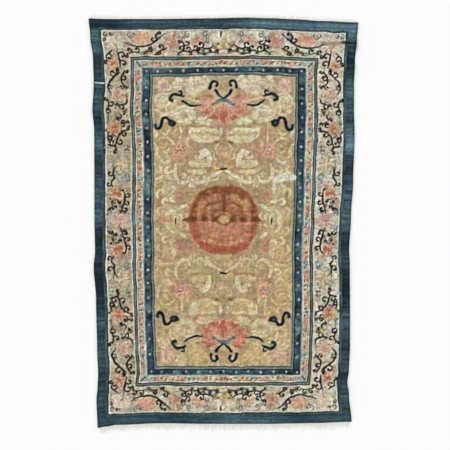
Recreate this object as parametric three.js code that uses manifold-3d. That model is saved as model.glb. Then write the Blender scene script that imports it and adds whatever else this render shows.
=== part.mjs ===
// A hand-knotted wool rug of the old Chinese kind, lying flat with its pile up. The cotton warps
// run on past both ends through a narrow woven strip and finish as a short, uneven fringe.
// Millimetres, +Z up, the rug's length along Y, the floor at Z = 0.
import * as THREE from "three";
import { mergeVertices } from "three/addons/utils/BufferGeometryUtils.js";
import Module from "manifold-3d";

const wasm = await Module();
wasm.setup();

// Driving dimensions
const RUG_WIDTH = 1221;
const RUG_LENGTH = 1924;
const RUG_THICKNESS = 9; // cotton foundation and clipped pile together
const EDGE_HEIGHT = 4.5; // the bare edge, below the level of the pile
const EDGE_ROUND = 8; // the pile reaches its full height this far in

const STRIP_GAP = 0.3; // parts the woven strip from the rug's end
const STRIP_WIDTH = 7;
const STRIP_HEIGHT = 2.6;

const STRAND_HEIGHT = 2;
const STRAND_ROOT_WIDTH = 3.6;
const STRAND_TIP_WIDTH = 1.8;
const STRAND_ROOT_DEPTH = 4; // how far a strand reaches back into its strip
const STRAND_SIDE_STEP = 1.5; // the most that a strand's middle or tip wanders to either side

const HALF_WIDTH = RUG_WIDTH / 2;
const HALF_LENGTH = RUG_LENGTH / 2;
const STRIP_REACH = HALF_WIDTH - EDGE_ROUND;

// How far each long side stands out from a straight one, at each height up the rug
const LONG_SIDES = [
  { along: -962, left: -14, right: 0 },
  { along: -830, left: -9, right: -12 },
  { along: -775, left: -14, right: -20 },
  { along: -715, left: -17, right: -12 },
  { along: -600, left: -12, right: -7 },
  { along: -375, left: -7, right: -7 },
  { along: -205, left: 4, right: -8 },
  { along: -145, left: -2, right: -11 },
  { along: 25, left: 1, right: -2 },
  { along: 195, left: 1, right: 8 },
  { along: 425, left: 2, right: 15 },
  { along: 535, left: 10, right: 12 },
  { along: 650, left: 4, right: 12 },
  { along: 765, left: 7, right: 16 },
  { along: 880, left: 21, right: 26 },
  { along: 962, left: 28, right: 32 },
];

// How far each end stands out from a straight one, at each place across the rug
const ENDS = [
  { along: -610, far: 1, near: 21 },
  { along: -570, far: -1, near: 15 },
  { along: -520, far: -2, near: 7 },
  { along: -300, far: -2, near: -1 },
  { along: -70, far: 1, near: 2 },
  { along: 100, far: 5, near: 2 },
  { along: 215, far: 2, near: 2 },
  { along: 330, far: -3, near: 0 },
  { along: 440, far: -11, near: -2 },
  { along: 610, far: -18, near: -8 },
];

// Low ripples where the rug lifts from the floor: a ridge's middle, its direction, its half length,
// its half width and its height
const RIPPLES = [
  { x: 585, y: 852, turn: 4, reach: 130, half: 34, height: 8 },
  { x: 600, y: 742, turn: -6, reach: 80, half: 40, height: 5 },
  { x: 590, y: -800, turn: 12, reach: 95, half: 36, height: 6 },
  { x: -600, y: 640, turn: -3, reach: 90, half: 32, height: 5 },
  { x: -598, y: 520, turn: 8, reach: 85, half: 40, height: 4 },
  { x: -590, y: -240, turn: 0, reach: 80, half: 42, height: 4 },
];

// Grid lines of the rug's two faces: fine along the rims, where the ripples are
const RIM_ACROSS = 160;
const RIM_ALONG = 330;
const FINE_STEP = 26;
const COARSE_STEP = 84;

// Fringe: strands in each end's row, their mean length, how much it varies, and the seed
const FRINGES = {
  far: { strands: 96, length: 10, varies: 6, seed: 5 },
  near: { strands: 126, length: 27, varies: 11, seed: 11 },
};

const PILE_COLOUR = "#8f8468";
const COTTON_COLOUR = "#e4dcc6";

// A column of a table at a place, eased between the rows on either side of it
function eased(rows, column, at) {
  const last = rows.length - 1;
  if (at <= rows[0].along) return rows[0][column];
  if (at >= rows[last].along) return rows[last][column];
  const above = rows.findIndex((row) => row.along >= at);
  const low = rows[above - 1];
  const high = rows[above];
  const share = (at - low.along) / (high.along - low.along);
  const ease = share * share * (3 - 2 * share);
  return low[column] + ease * (high[column] - low[column]);
}

// The place on the floor of a point of the straight-sided design
function placed(x, y) {
  const side = HALF_WIDTH + eased(LONG_SIDES, x < 0 ? "left" : "right", y);
  const end = HALF_LENGTH + eased(ENDS, y < 0 ? "near" : "far", x);
  return new THREE.Vector2((x / HALF_WIDTH) * side, (y / HALF_LENGTH) * end);
}

// Zero outside -1 to 1, a smooth hump within
function hump(share) {
  const rest = Math.max(0, 1 - share * share);
  return rest * rest;
}

// How far the rug is off the floor at a point of the design
function lift(x, y) {
  return RIPPLES.reduce((sum, ripple) => {
    const turn = THREE.MathUtils.degToRad(ripple.turn);
    const dx = x - ripple.x;
    const dy = y - ripple.y;
    const along = dx * Math.cos(turn) + dy * Math.sin(turn);
    const across = dy * Math.cos(turn) - dx * Math.sin(turn);
    return sum + ripple.height * hump(along / ripple.reach) * hump(across / ripple.half);
  }, 0);
}

// The foundation and pile's thickness, which falls off in a round shoulder at the edge
function thickness(x, y) {
  const inside = Math.min(HALF_WIDTH - Math.abs(x), HALF_LENGTH - Math.abs(y));
  const share = Math.min(1, Math.max(0, inside / EDGE_ROUND));
  return EDGE_HEIGHT + (RUG_THICKNESS - EDGE_HEIGHT) * Math.sqrt(1 - (1 - share) ** 2);
}

// Even steps from one place to another, without the last
function steps(from, to, size) {
  const count = Math.ceil((to - from) / size);
  return Array.from({ length: count }, (_, i) => from + ((to - from) * i) / count);
}

// Grid lines from edge to edge: the shoulder, a finely stepped rim, then a coarse middle
function gridLines(half, rim) {
  const shoulder = [half, half - EDGE_ROUND / 3];
  const fine = steps(-(half - EDGE_ROUND), -(half - rim), FINE_STEP).map((place) => -place);
  const outer = [...shoulder, ...fine];
  const middle = steps(-(half - rim), half - rim, COARSE_STEP);
  return [...outer.map((place) => -place), ...middle, half - rim, ...outer.reverse()];
}

// The rug as one closed sheet: an upper and a lower grid of points, joined round the edge
function rugGeometry() {
  const columns = gridLines(HALF_WIDTH, RIM_ACROSS);
  const rows = gridLines(HALF_LENGTH, RIM_ALONG);
  const across = columns.length;
  const points = [];
  for (const face of ["upper", "lower"]) {
    for (const y of rows) {
      for (const x of columns) {
        const place = placed(x, y);
        const height = lift(x, y) + (face === "upper" ? thickness(x, y) : 0);
        points.push(place.x, place.y, height);
      }
    }
  }
  const lower = across * rows.length;
  const triangles = [];
  const quad = (a, b, c, d) => triangles.push(a, b, c, a, c, d);
  for (let row = 0; row < rows.length - 1; row++) {
    for (let column = 0; column < across - 1; column++) {
      const a = row * across + column;
      const b = a + 1;
      const c = b + across;
      const d = a + across;
      quad(a, b, c, d);
      quad(lower + a, lower + d, lower + c, lower + b);
    }
  }
  const wall = (a, b) => quad(a, lower + a, lower + b, b);
  for (let column = 0; column < across - 1; column++) {
    const far = (rows.length - 1) * across + column;
    wall(column, column + 1);
    wall(far + 1, far);
  }
  for (let row = 0; row < rows.length - 1; row++) {
    const left = row * across;
    const right = left + across - 1;
    wall(left + across, left);
    wall(right, right + across);
  }
  const geometry = new THREE.BufferGeometry();
  geometry.setAttribute("position", new THREE.Float32BufferAttribute(points, 3));
  geometry.setIndex(triangles);
  return geometry;
}

// A repeatable row of numbers from 0 to 1
function numbersFrom(seed) {
  let state = seed;
  return () => {
    state = (state * 16807) % 2147483647;
    return state / 2147483647;
  };
}

// A closed geometry as a solid for joining
function solidOf(geometry) {
  const bare = geometry.index ? geometry.toNonIndexed() : geometry.clone();
  bare.deleteAttribute("normal");
  bare.deleteAttribute("uv");
  const merged = mergeVertices(bare, 1e-4);
  return new wasm.Manifold(
    new wasm.Mesh({
      numProp: 3,
      vertProperties: merged.attributes.position.array,
      triVerts: new Uint32Array(merged.index.array),
    }),
  );
}

function geometryOf(solid) {
  const mesh = solid.getMesh();
  const geometry = new THREE.BufferGeometry();
  geometry.setAttribute("position", new THREE.BufferAttribute(mesh.vertProperties, 3));
  geometry.setIndex(new THREE.BufferAttribute(mesh.triVerts, 1));
  return geometry;
}

// A flat outline raised from the floor
function raised(outline, height) {
  return solidOf(
    new THREE.ExtrudeGeometry(new THREE.Shape(outline), { depth: height, bevelEnabled: false }),
  );
}

// A point beyond the rug's end, a given distance out from the edge
function beyondEnd(end, x, distance) {
  const way = end === "far" ? 1 : -1;
  const edge = placed(x, way * HALF_LENGTH);
  return new THREE.Vector2(edge.x, edge.y + way * distance);
}

// The narrow woven strip that follows one end of the rug, from shoulder to shoulder
function endStrip(end) {
  const places = gridLines(HALF_WIDTH, RIM_ACROSS).filter((x) => Math.abs(x) <= STRIP_REACH);
  const inner = places.map((x) => beyondEnd(end, x, STRIP_GAP));
  const outer = places.map((x) => beyondEnd(end, x, STRIP_GAP + STRIP_WIDTH));
  return raised([...inner, ...outer.reverse()], STRIP_HEIGHT);
}

// One lock of warps, lying on the floor: root, middle and tip, each a little to one side
function strand(end, x, length, random) {
  const root = STRIP_GAP + STRIP_WIDTH - STRAND_ROOT_DEPTH;
  const aside = () => (2 * random() - 1) * STRAND_SIDE_STEP;
  const stations = [
    { out: root, shift: 0, width: STRAND_ROOT_WIDTH },
    { out: root + STRAND_ROOT_DEPTH + length / 2, shift: aside(), width: STRAND_ROOT_WIDTH },
    { out: root + STRAND_ROOT_DEPTH + length, shift: aside(), width: STRAND_TIP_WIDTH },
  ];
  const side = (way) =>
    stations.map((s) => {
      const point = beyondEnd(end, x, s.out);
      return point.setX(point.x + s.shift + (way * s.width) / 2);
    });
  return raised([...side(-1), ...side(1).reverse()], STRAND_HEIGHT);
}

// A strip and its row of strands, fused into one solid
function fringeGeometry(end) {
  const { strands, length, varies, seed } = FRINGES[end];
  const random = numbersFrom(seed);
  const reach = STRIP_REACH - STRAND_ROOT_WIDTH;
  const pieces = [endStrip(end)];
  for (let i = 0; i < strands; i++) {
    const x = -reach + (2 * reach * i) / (strands - 1);
    pieces.push(strand(end, x, length + varies * (2 * random() - 1), random));
  }
  return geometryOf(wasm.Manifold.union(pieces));
}

function wool(colour) {
  return new THREE.MeshStandardMaterial({ color: colour, roughness: 0.95, metalness: 0 });
}

function named(name, geometry, colour) {
  const mesh = new THREE.Mesh(geometry, wool(colour));
  mesh.name = name;
  return mesh;
}

const rug = new THREE.Group();
rug.add(named("pile_rug", rugGeometry(), PILE_COLOUR));
rug.add(named("fringe_far", fringeGeometry("far"), COTTON_COLOUR));
rug.add(named("fringe_near", fringeGeometry("near"), COTTON_COLOUR));

// The origin is on the floor, under the middle of the rug and its fringes
const middle = new THREE.Box3().setFromObject(rug).getCenter(new THREE.Vector3());
rug.children.forEach((piece) => piece.position.set(-middle.x, -middle.y, 0));

export default rug;
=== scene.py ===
"""Chinese pile rug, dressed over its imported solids: knotted pile, woven back and cotton fringes.

The drawing of the rug is a knot chart. Its bands, vine, flowers, scrolls and medallion are painted motif
over motif on a lattice of knots, set once for a quarter of the rug and mirrored, as a weaver's cartoon is.
Sizes in the drawing are millimetres on the flat rug, with x across, y along and the middle at zero.
"""
import math
from types import SimpleNamespace

import bpy
import numpy as np
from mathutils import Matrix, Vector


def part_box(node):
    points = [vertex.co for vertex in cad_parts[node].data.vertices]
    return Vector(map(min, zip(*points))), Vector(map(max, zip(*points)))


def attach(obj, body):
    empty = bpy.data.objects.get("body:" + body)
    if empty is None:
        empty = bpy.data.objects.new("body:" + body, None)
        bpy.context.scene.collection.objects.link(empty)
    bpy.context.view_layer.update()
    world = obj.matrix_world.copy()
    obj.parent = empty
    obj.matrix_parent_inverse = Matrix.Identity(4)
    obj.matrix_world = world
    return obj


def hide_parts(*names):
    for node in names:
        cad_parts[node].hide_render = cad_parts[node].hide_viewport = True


bl_info = {
    "name": "Chinese Pile Rug",
    "version": (1, 0, 0),
    "blender": (4, 5, 0),
    "location": "3D View > Sidebar > Rug",
    "description": "Knots the pile, weaves the back and lays the fringes of a chinese rug",
    "category": "Object",
}

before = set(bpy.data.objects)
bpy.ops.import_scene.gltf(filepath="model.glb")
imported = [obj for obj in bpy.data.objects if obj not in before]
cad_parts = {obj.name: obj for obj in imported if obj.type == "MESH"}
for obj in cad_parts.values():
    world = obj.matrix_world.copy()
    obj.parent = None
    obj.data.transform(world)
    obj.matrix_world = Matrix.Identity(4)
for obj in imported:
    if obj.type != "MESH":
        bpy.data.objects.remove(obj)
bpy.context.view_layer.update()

HALF_WIDTH, HALF_LENGTH = 610.5, 962.0
PILE_TOP, EDGE_HEIGHT, EDGE_ROUND = 9.0, 4.5, 8.0
BACK_THICKNESS = 2.4

# The outline: how far the long sides and the ends stand out from the straight, left and right, far and near
LONG_SIDES = (
    (-962, -14, 0), (-830, -9, -12), (-775, -14, -20), (-715, -17, -12), (-600, -12, -7), (-375, -7, -7),
    (-205, 4, -8), (-145, -2, -11), (25, 1, -2), (195, 1, 8), (425, 2, 15), (535, 10, 12), (650, 4, 12),
    (765, 7, 16), (880, 21, 26), (962, 28, 32),
)
ENDS = (
    (-610, 1, 21), (-570, -1, 15), (-520, -2, 7), (-300, -2, -1), (-70, 1, 2), (100, 5, 2), (215, 2, 2),
    (330, -3, 0), (440, -11, -2), (610, -18, -8),
)
# Low ripples near the edges: middle, turn in degrees, reach along, half width and height
RIPPLES = (
    (585, 852, 4, 130, 34, 8), (600, 742, -6, 80, 40, 5), (590, -800, 12, 95, 36, 6),
    (-600, 640, -3, 90, 32, 5), (-598, 520, 8, 85, 40, 4), (-590, -240, 0, 80, 42, 4),
)
# Bands of the drawing, as half widths and half lengths
FIELD, GUARDS, VINE = (331.0, 688.0), (434.0, 781.0), (556.0, 907.0)
# Dye lots of the outer border along the rug, as tones about 1
DYE_LOTS = (
    (-962, 0.92), (-860, 1.0), (-765, 0.82), (-690, 1.02), (-560, 0.84), (-460, 1.06), (-390, 0.70),
    (-310, 0.60), (-180, 0.82), (-90, 0.62), (0, 0.97), (110, 1.06), (240, 0.84), (360, 1.38), (490, 0.78),
    (560, 1.04), (640, 1.08), (750, 0.70), (845, 1.12), (900, 1.18), (962, 1.05),
)
# Millimetres in a metre
MM = 1000.0
# The soft edge of a motif, and the share of a stroke over which each of its ends narrows
SOFT, TAPER_RUN = 3.0, 0.35
# The drawing's drift inside its outer border: where it starts, its run, its shift, and its skew over a length
DRIFT_REACH, DRIFT_RUN, DRIFT_SHIFT, DRIFT_SKEW, DRIFT_LENGTH = 590, 110, 2.5, 0.010, 650
# Steps of the knots in loose drawing, as wave and depth, and their share in straight lines
KNOT_STEPS, STRAIGHT_SHARE = ((30.0, 2.4), (13.0, 1.4)), 0.3
# How far loose drawing keeps inside a band's outer line and outside its inner one
CLEAR_INSIDE, CLEAR_OUTSIDE = 8, 4
QUARTERS = ((1, 1), (-1, 1), (1, -1), (-1, -1))
# Flowers of a quarter's vine border across the end and along the side: middle and half sizes
END_BLOOMS = (
    (368, 868, 48, 28), (234, 850, 34, 38), (122, 856, 32, 28), (490, 852, 44, 44), (40, 866, 30, 24),
)
SIDE_BLOOMS = (
    (510, 134, 33, 32), (508, 446, 30, 42), (512, 748, 28, 34), (488, 0, 44, 38), (478, 272, 36, 44),
    (488, 604, 40, 36),
)


def held(value):
    """A value held between 0 and 1."""
    return np.clip(value, 0, 1)


def outside(x, y, half):
    """How far points lie outside a box about the middle, below zero inside it."""
    return np.maximum(np.abs(x) - half[0], np.abs(y) - half[1])


def heading(turn):
    """The cosine and sine of a turn in degrees."""
    return math.cos(math.radians(turn)), math.sin(math.radians(turn))


def softened(share):
    """A share from 0 to 1 that starts and ends gently."""
    return share * share * (3 - 2 * share)


def eased(table, column, at):
    """A value read from a table's rows, eased between them."""
    rows = np.array(table, float)
    at = np.clip(at, rows[0, 0], rows[-1, 0])
    i = np.clip(np.searchsorted(rows[:, 0], at), 1, len(rows) - 1)
    share = softened((at - rows[i - 1, 0]) / (rows[i, 0] - rows[i - 1, 0]))
    return rows[i - 1, column] * (1 - share) + rows[i, column] * share


def laid(x, y):
    """Where a point of the flat drawing lies on the floor."""
    side = HALF_WIDTH + np.where(x < 0, eased(LONG_SIDES, 1, y), eased(LONG_SIDES, 2, y))
    end = HALF_LENGTH + np.where(y < 0, eased(ENDS, 2, x), eased(ENDS, 1, x))
    return x / HALF_WIDTH * side, y / HALF_LENGTH * end


def lift(x, y):
    """How high the ripples raise the rug off the floor."""
    total = np.zeros(np.shape(x))
    for mid_x, mid_y, turn, reach, half, height in RIPPLES:
        c, s = heading(turn)
        along, across = (x - mid_x) * c + (y - mid_y) * s, (y - mid_y) * c - (x - mid_x) * s
        total += height * (held(1 - (along / reach) ** 2) * held(1 - (across / half) ** 2)) ** 2
    return total


def crown(x, y):
    """The pile's height over the back of the rug, rounded down at its edges."""
    share = held(-outside(x, y, (HALF_WIDTH, HALF_LENGTH)) / EDGE_ROUND)
    return EDGE_HEIGHT + (PILE_TOP - EDGE_HEIGHT) * np.sqrt(1 - (1 - share) ** 2)


def lattice_lines(stops):
    """Lines from the middle out to each stop of reach and pitch, mirrored."""
    lines, last = [0.0], 0.0
    for reach, pitch in stops:
        count = max(1, round((reach - last) / pitch))
        lines += [last + (reach - last) * (i + 1) / count for i in range(count)]
        last = reach
    half = np.array(lines)
    return np.concatenate([-half[:0:-1], half])


def smooth_path(points, step=4.0):
    """A smooth path through a few given points."""
    p = np.array(points, float)
    p = np.vstack([2 * p[0] - p[1], p, 2 * p[-1] - p[-2]])
    parts = []
    for a, b, c, d in zip(p[:-3], p[1:-2], p[2:-1], p[3:]):
        count = max(2, int(math.dist(b, c) / step))
        t = (np.arange(count) / count)[:, None]
        parts.append(0.5 * (2 * b + (c - a) * t + (2 * a - 5 * b + 4 * c - d) * t ** 2
                            + (3 * b - a - 3 * c + d) * t ** 3))
    return np.vstack(parts + [p[-2:-1]])


def curl_points(x, y, radius, start, turns, hand=1, tail=0.0):
    """A curl that winds out from its middle and ends at the angle start, with a straight tail."""
    count = max(6, int(turns * 9))
    points = []
    for i in range(count + 1):
        angle = math.radians(start) - hand * (1 - i / count) * turns * math.tau
        reach = radius * (0.25 + 0.75 * i / count)
        points.append((x + reach * math.cos(angle), y + reach * math.sin(angle)))
    if tail:
        angle = math.radians(start) + hand * math.pi / 2
        points.append((points[-1][0] + tail * math.cos(angle), points[-1][1] + tail * math.sin(angle)))
    return points


def blend(a, b, share):
    """Two yarns blended, by one share or by a share for each knot."""
    share = np.asarray(share, float)[..., None]
    return np.asarray(a) * (1 - share) + np.asarray(b) * share


class KnotChart:
    """The rug's colours, knot by knot, painted motif over motif."""

    def __init__(self, xs, ys, yarns):
        self.xs, self.ys, self.yarn = xs, ys, yarns
        grid_x, grid_y = np.meshgrid(xs, ys)
        rng = np.random.default_rng(3)
        inner = held((DRIFT_REACH - np.abs(grid_x)) / DRIFT_RUN)
        skew = 1 - DRIFT_SKEW * inner * grid_y / DRIFT_LENGTH
        self.x = (grid_x - DRIFT_SHIFT * inner) * skew + self.sway(grid_x, grid_y, rng)
        self.y = grid_y + self.sway(grid_x, grid_y, rng)
        in_field = outside(grid_x, grid_y, FIELD) < -CLEAR_INSIDE
        in_vine = outside(grid_x, grid_y, VINE) < -CLEAR_INSIDE
        beyond_guards = outside(grid_x, grid_y, GUARDS) > CLEAR_OUTSIDE
        loose = np.where(in_field | (in_vine & beyond_guards), 1.0, STRAIGHT_SHARE)
        for wave, depth in KNOT_STEPS:
            step_x, step_y = self.streaks(wave, wave, 61), self.streaks(wave, wave, 62)
            self.x, self.y = self.x + depth * loose * step_x, self.y + depth * loose * step_y
        self.rgb = np.zeros(grid_x.shape + (3,))
        self.all = (slice(None), slice(None))

    @staticmethod
    def sway(grid_x, grid_y, rng):
        """The drift of a hand-knotted drawing, a few millimetres over a hand's width."""
        total = np.zeros(grid_x.shape)
        for wave, depth in ((460, 1.0), (260, 0.7), (130, 0.6), (70, 0.5)):
            for _ in range(2):
                turn, start = rng.uniform(0, math.tau, 2)
                run = grid_x * math.cos(turn) + grid_y * math.sin(turn)
                total += depth * np.sin(run * math.tau / wave + start)
        return total

    def streaks(self, wave_x, wave_y, seed, mirrored=False):
        """Smooth unevenness from -1 to 1, with one size across the rug and another along it."""
        rng = np.random.default_rng(seed)
        count_x, count_y = int(2 * HALF_WIDTH / wave_x) + 6, int(2 * HALF_LENGTH / wave_y) + 6
        knots = rng.uniform(-1, 1, (count_y, count_x))
        x, y = (np.abs(self.x), np.abs(self.y)) if mirrored else (self.x, self.y)
        place_x = np.clip((x + HALF_WIDTH) / wave_x + 1, 0, count_x - 1.01)
        place_y = np.clip((y + HALF_LENGTH) / wave_y + 1, 0, count_y - 1.01)
        i, j = place_x.astype(int), place_y.astype(int)
        share_x, share_y = softened(place_x - i), softened(place_y - j)
        low = knots[j, i] * (1 - share_x) + knots[j, i + 1] * share_x
        high = knots[j + 1, i] * (1 - share_x) + knots[j + 1, i + 1] * share_x
        return low * (1 - share_y) + high * share_y

    def mottled(self, first, second, share, depth, wave_x, wave_y, seed):
        """Two yarns in a blend that drifts over the rug."""
        return blend(first, second, share + depth * self.streaks(wave_x, wave_y, seed))

    def window(self, x0, x1, y0, y1, margin=14.0):
        """The rows and columns of knots in a box."""
        c0, c1 = np.searchsorted(self.xs, (x0 - margin, x1 + margin))
        r0, r1 = np.searchsorted(self.ys, (y0 - margin, y1 + margin))
        return slice(r0, r1), slice(c0, c1)

    def about(self, x, y, reach, turn, **margin):
        """The window about a point, with its knots' places along and across a turn in degrees."""
        c, s = heading(turn)
        window = self.window(x - reach, x + reach, y - reach, y + reach, **margin)
        px, py = self.x[window] - x, self.y[window] - y
        return window, px * c + py * s, py * c - px * s

    def lay(self, window, cover, colour):
        """Covers the knots of a window with a colour, each by its own share."""
        cover = cover[..., None]
        self.rgb[window] = self.rgb[window] * (1 - cover) + np.asarray(colour) * cover

    def band(self, half_x, half_y, colour):
        """Fills the rug inward of a straight line all round."""
        away = outside(self.x, self.y, (half_x, half_y))
        self.lay(self.all, held(0.5 - away / SOFT), colour)

    def stroke(self, points, width, colour, taper=(1.0, 1.0), soft=SOFT, strength=1.0):
        """A line of yarn along a smooth path, narrowed at each end as taper says."""
        path = smooth_path(points)
        share = np.linspace(0, 1, len(path))
        half = 0.5 * width * (taper[0] + (1 - taper[0]) * held(share / TAPER_RUN))
        half = half * (taper[1] + (1 - taper[1]) * held((1 - share) / TAPER_RUN))
        low, high = path.min(0) - width, path.max(0) + width
        window = self.window(low[0], high[0], low[1], high[1])
        x, y = self.x[window], self.y[window]
        away = np.full(x.shape, np.inf)
        for (ax, ay), (bx, by), wa, wb in zip(path[:-1], path[1:], half[:-1], half[1:]):
            dx, dy = bx - ax, by - ay
            t = held(((x - ax) * dx + (y - ay) * dy) / max(dx * dx + dy * dy, 1e-9))
            away = np.minimum(away, np.hypot(x - ax - t * dx, y - ay - t * dy) - wa - t * (wb - wa))
        self.lay(window, strength * held(0.5 - away / soft), colour)

    def petal(self, x, y, turn, length, width, colour, tip=None, rim=None, full=1.3, strength=1.0):
        """A petal from its base along a turn, shaded to its tip; full above 1 widens it to the tip."""
        window, along, across = self.about(x, y, length + width, turn)
        along = along / length
        swell = np.sin(math.pi * held(along) ** full) ** 0.8
        away = np.abs(across) - 0.5 * width * swell + np.where((along < 0) | (along > 1), 5.0, 0.0)
        if rim is not None:
            near = (along > -0.06) & (along < 1.08)
            self.lay(window, strength * held(0.5 - (away - 2.6) / SOFT) * near, rim)
        shade = np.asarray(colour) if tip is None else blend(colour, tip, held(along))
        self.lay(window, strength * held(0.5 - away / SOFT), shade)

    def spot(self, x, y, half_x, half_y, colour, turn=0.0, soft=SOFT, strength=1.0):
        """An oval patch of yarn."""
        window, along, across = self.about(x, y, max(half_x, half_y), turn, margin=9 + soft)
        away = (np.hypot(along / half_x, across / half_y) - 1) * min(half_x, half_y)
        self.lay(window, strength * held(0.5 - away / soft), colour)


class Quarter:
    """The chart seen from one quarter of the rug, so that a motif is set once and mirrored."""

    def __init__(self, chart, side, end):
        self.chart, self.side, self.end, self.yarn = chart, side, end, chart.yarn

    def angle(self, turn):
        """A turn in degrees, mirrored to this quarter."""
        turn = 180 - turn if self.side < 0 else turn
        return -turn if self.end < 0 else turn

    def stroke(self, points, width, colour, **look):
        self.chart.stroke([(self.side * u, self.end * v) for u, v in points], width, colour, **look)

    def petal(self, u, v, turn, length, width, colour, **look):
        self.chart.petal(self.side * u, self.end * v, self.angle(turn), length, width, colour, **look)

    def spot(self, u, v, half_u, half_v, colour, turn=0.0, **look):
        self.chart.spot(self.side * u, self.end * v, half_u, half_v, colour, self.angle(turn), **look)

    def fan(self, u, v, turns, length, width, colour, **look):
        """Like petals from one base, one along each turn."""
        for turn in turns:
            self.petal(u, v, turn, length, width, colour, **look)

    def curl(self, u, v, radius, start, width, colour, hand=1, turns=0.9, tail=0.0, taper=(0.8, 0.6), **look):
        self.stroke(curl_points(u, v, radius, start, turns, hand, tail), width, colour, taper=taper, **look)

    def scroll(self, points, width, fill, edge):
        """A band of cloud scroll with a darker edge."""
        for wide, tint, soft, strength in ((width + 8, edge, 6, 0.42), (width, fill, 5, 0.92)):
            self.stroke(points, wide, tint, taper=(0.55, 0.35), soft=soft, strength=strength)


# Tints of the cream ground: how deep each one is, and the seed of its patches
CREAM_TINTS = (("khaki", 0.35, 10), ("slate", 0.32, 11), ("rose", 0.34, 16), ("ivory", 0.6, 17),
               ("gold", 0.35, 29), ("pearl", 0.35, 42))


def cream_ground(chart):
    """The cream ground of the vine border, patched with faded tints and veined with faint brown."""
    yarn, streaks = chart.yarn, chart.streaks
    light = np.clip(0.25 + chart.x / 900, 0, 0.8) + 0.3 * held((np.abs(chart.y) - 780) / 60)
    ground = blend(yarn.cream, yarn.straw, held(0.55 + 0.5 * streaks(44, 40, 8)))
    ground = blend(ground, yarn.ivory, light)
    for name, depth, seed in CREAM_TINTS:
        ground = blend(ground, getattr(yarn, name), depth * held(1.3 * streaks(26, 24, seed, True)))
    cool = 0.35 * held(np.maximum(chart.x - 300, chart.y - 720) / 120)
    ground = blend(ground, blend(yarn.pearl, yarn.ivory, 0.4), cool)
    cloud = streaks(50, 46, 18, True) + 0.5 * streaks(23, 22, 19, True)
    brown = chart.mottled(blend(yarn.khaki, yarn.tan, 0.5), yarn.umber, 0.3, 0.4, 60, 60, 20)
    ground = blend(ground, brown, 0.46 * held(1.5 * np.cos(8.0 * cloud) - 0.5))
    return ground * (0.965 - 0.06 * held((-chart.x - 380) / 60))[..., None]


def bands(chart):
    """The outer border with its dye lots and a painted shade in its far left corner, the cream ground and the
    lines between.
    """
    yarn, streaks, mottled = chart.yarn, chart.streaks, chart.mottled
    tone = eased(DYE_LOTS, 1, chart.y)
    tone = tone * (1 + 0.15 * streaks(300, 9, 1) + 0.10 * streaks(110, 5, 2) + 0.22 * streaks(200, 90, 4))
    tone = tone * np.where(chart.x > 0, 1.03, 0.93)
    # Painted shade: the far left corner of the outer border darkened where it curls up
    tone = tone * (1 - 0.40 * held((-chart.x - 420) / 90) * held((chart.y - 900) / 20))
    rim = outside(chart.x, chart.y, (HALF_WIDTH, HALF_LENGTH))
    tone = tone * (1 - 0.25 * held(1 + rim / 12))
    chart.rgb[:] = blend(yarn.navy, yarn.steel, np.clip(tone - 0.58, 0, 1.1) / 0.86)
    chart.band(570, 919, mottled(yarn.steel, yarn.navy, 0.4, 0.3, 120, 60, 5))
    chart.band(562, 912.5, blend(yarn.navy, yarn.umber, 0.35))
    chart.band(556.5, 908, mottled(yarn.ivory, yarn.slate, 0.2, 0.25, 60, 40, 7))
    chart.band(550.5, 903, mottled(yarn.khaki, yarn.cream, 0.5, 0.3, 40, 30, 6))
    chart.band(547, 900, cream_ground(chart))


# How much larger than its row says a stem is drawn
STEM_SCALE = 1.2


def vine(quarter, path, width, hooks, tint=0.28):
    """A stem with hooks, each at a share of its run with its hand and radius, and a last one at its end."""
    ink = blend(quarter.yarn.ink, quarter.yarn.umber, tint)
    quarter.stroke(path, STEM_SCALE * width, ink, taper=(0.6, 0.75), soft=4)
    run = smooth_path(path, 2.0)
    for share, hand, radius in hooks + ((0.97, -hooks[0][1], 8),):
        radius *= STEM_SCALE
        i = min(int(share * len(run)), len(run) - 2)
        way = (run[i + 1] - run[i]) / max(1e-6, math.dist(run[i + 1], run[i]))
        mid = run[i] + radius * hand * np.array((-way[1], way[0])) + 0.8 * radius * way
        start = math.degrees(math.atan2(run[i][1] - mid[1], run[i][0] - mid[0]))
        quarter.curl(mid[0], mid[1], radius, start, 7.6, ink, hand=hand, turns=0.66, taper=(1.4, 0.9))


def fallen_leaves(quarter, box, count, seed):
    """Small leaves and petals scattered in a box, in faded colours."""
    yarn, rng = quarter.yarn, np.random.default_rng(seed)
    tints = (yarn.slate, yarn.ivory, yarn.straw, yarn.khaki, yarn.teal, yarn.ivory, yarn.gold, yarn.rose)
    for k in range(count):
        u, v = rng.uniform(box[0], box[1]), rng.uniform(box[2], box[3])
        length = rng.uniform(14, 32)
        quarter.petal(u, v, rng.uniform(0, 360), length, length * rng.uniform(0.28, 0.5), tints[k % 8],
                      tip=tints[(k + 3) % 8], full=rng.uniform(0.8, 1.5), strength=rng.uniform(0.35, 0.7))


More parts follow.
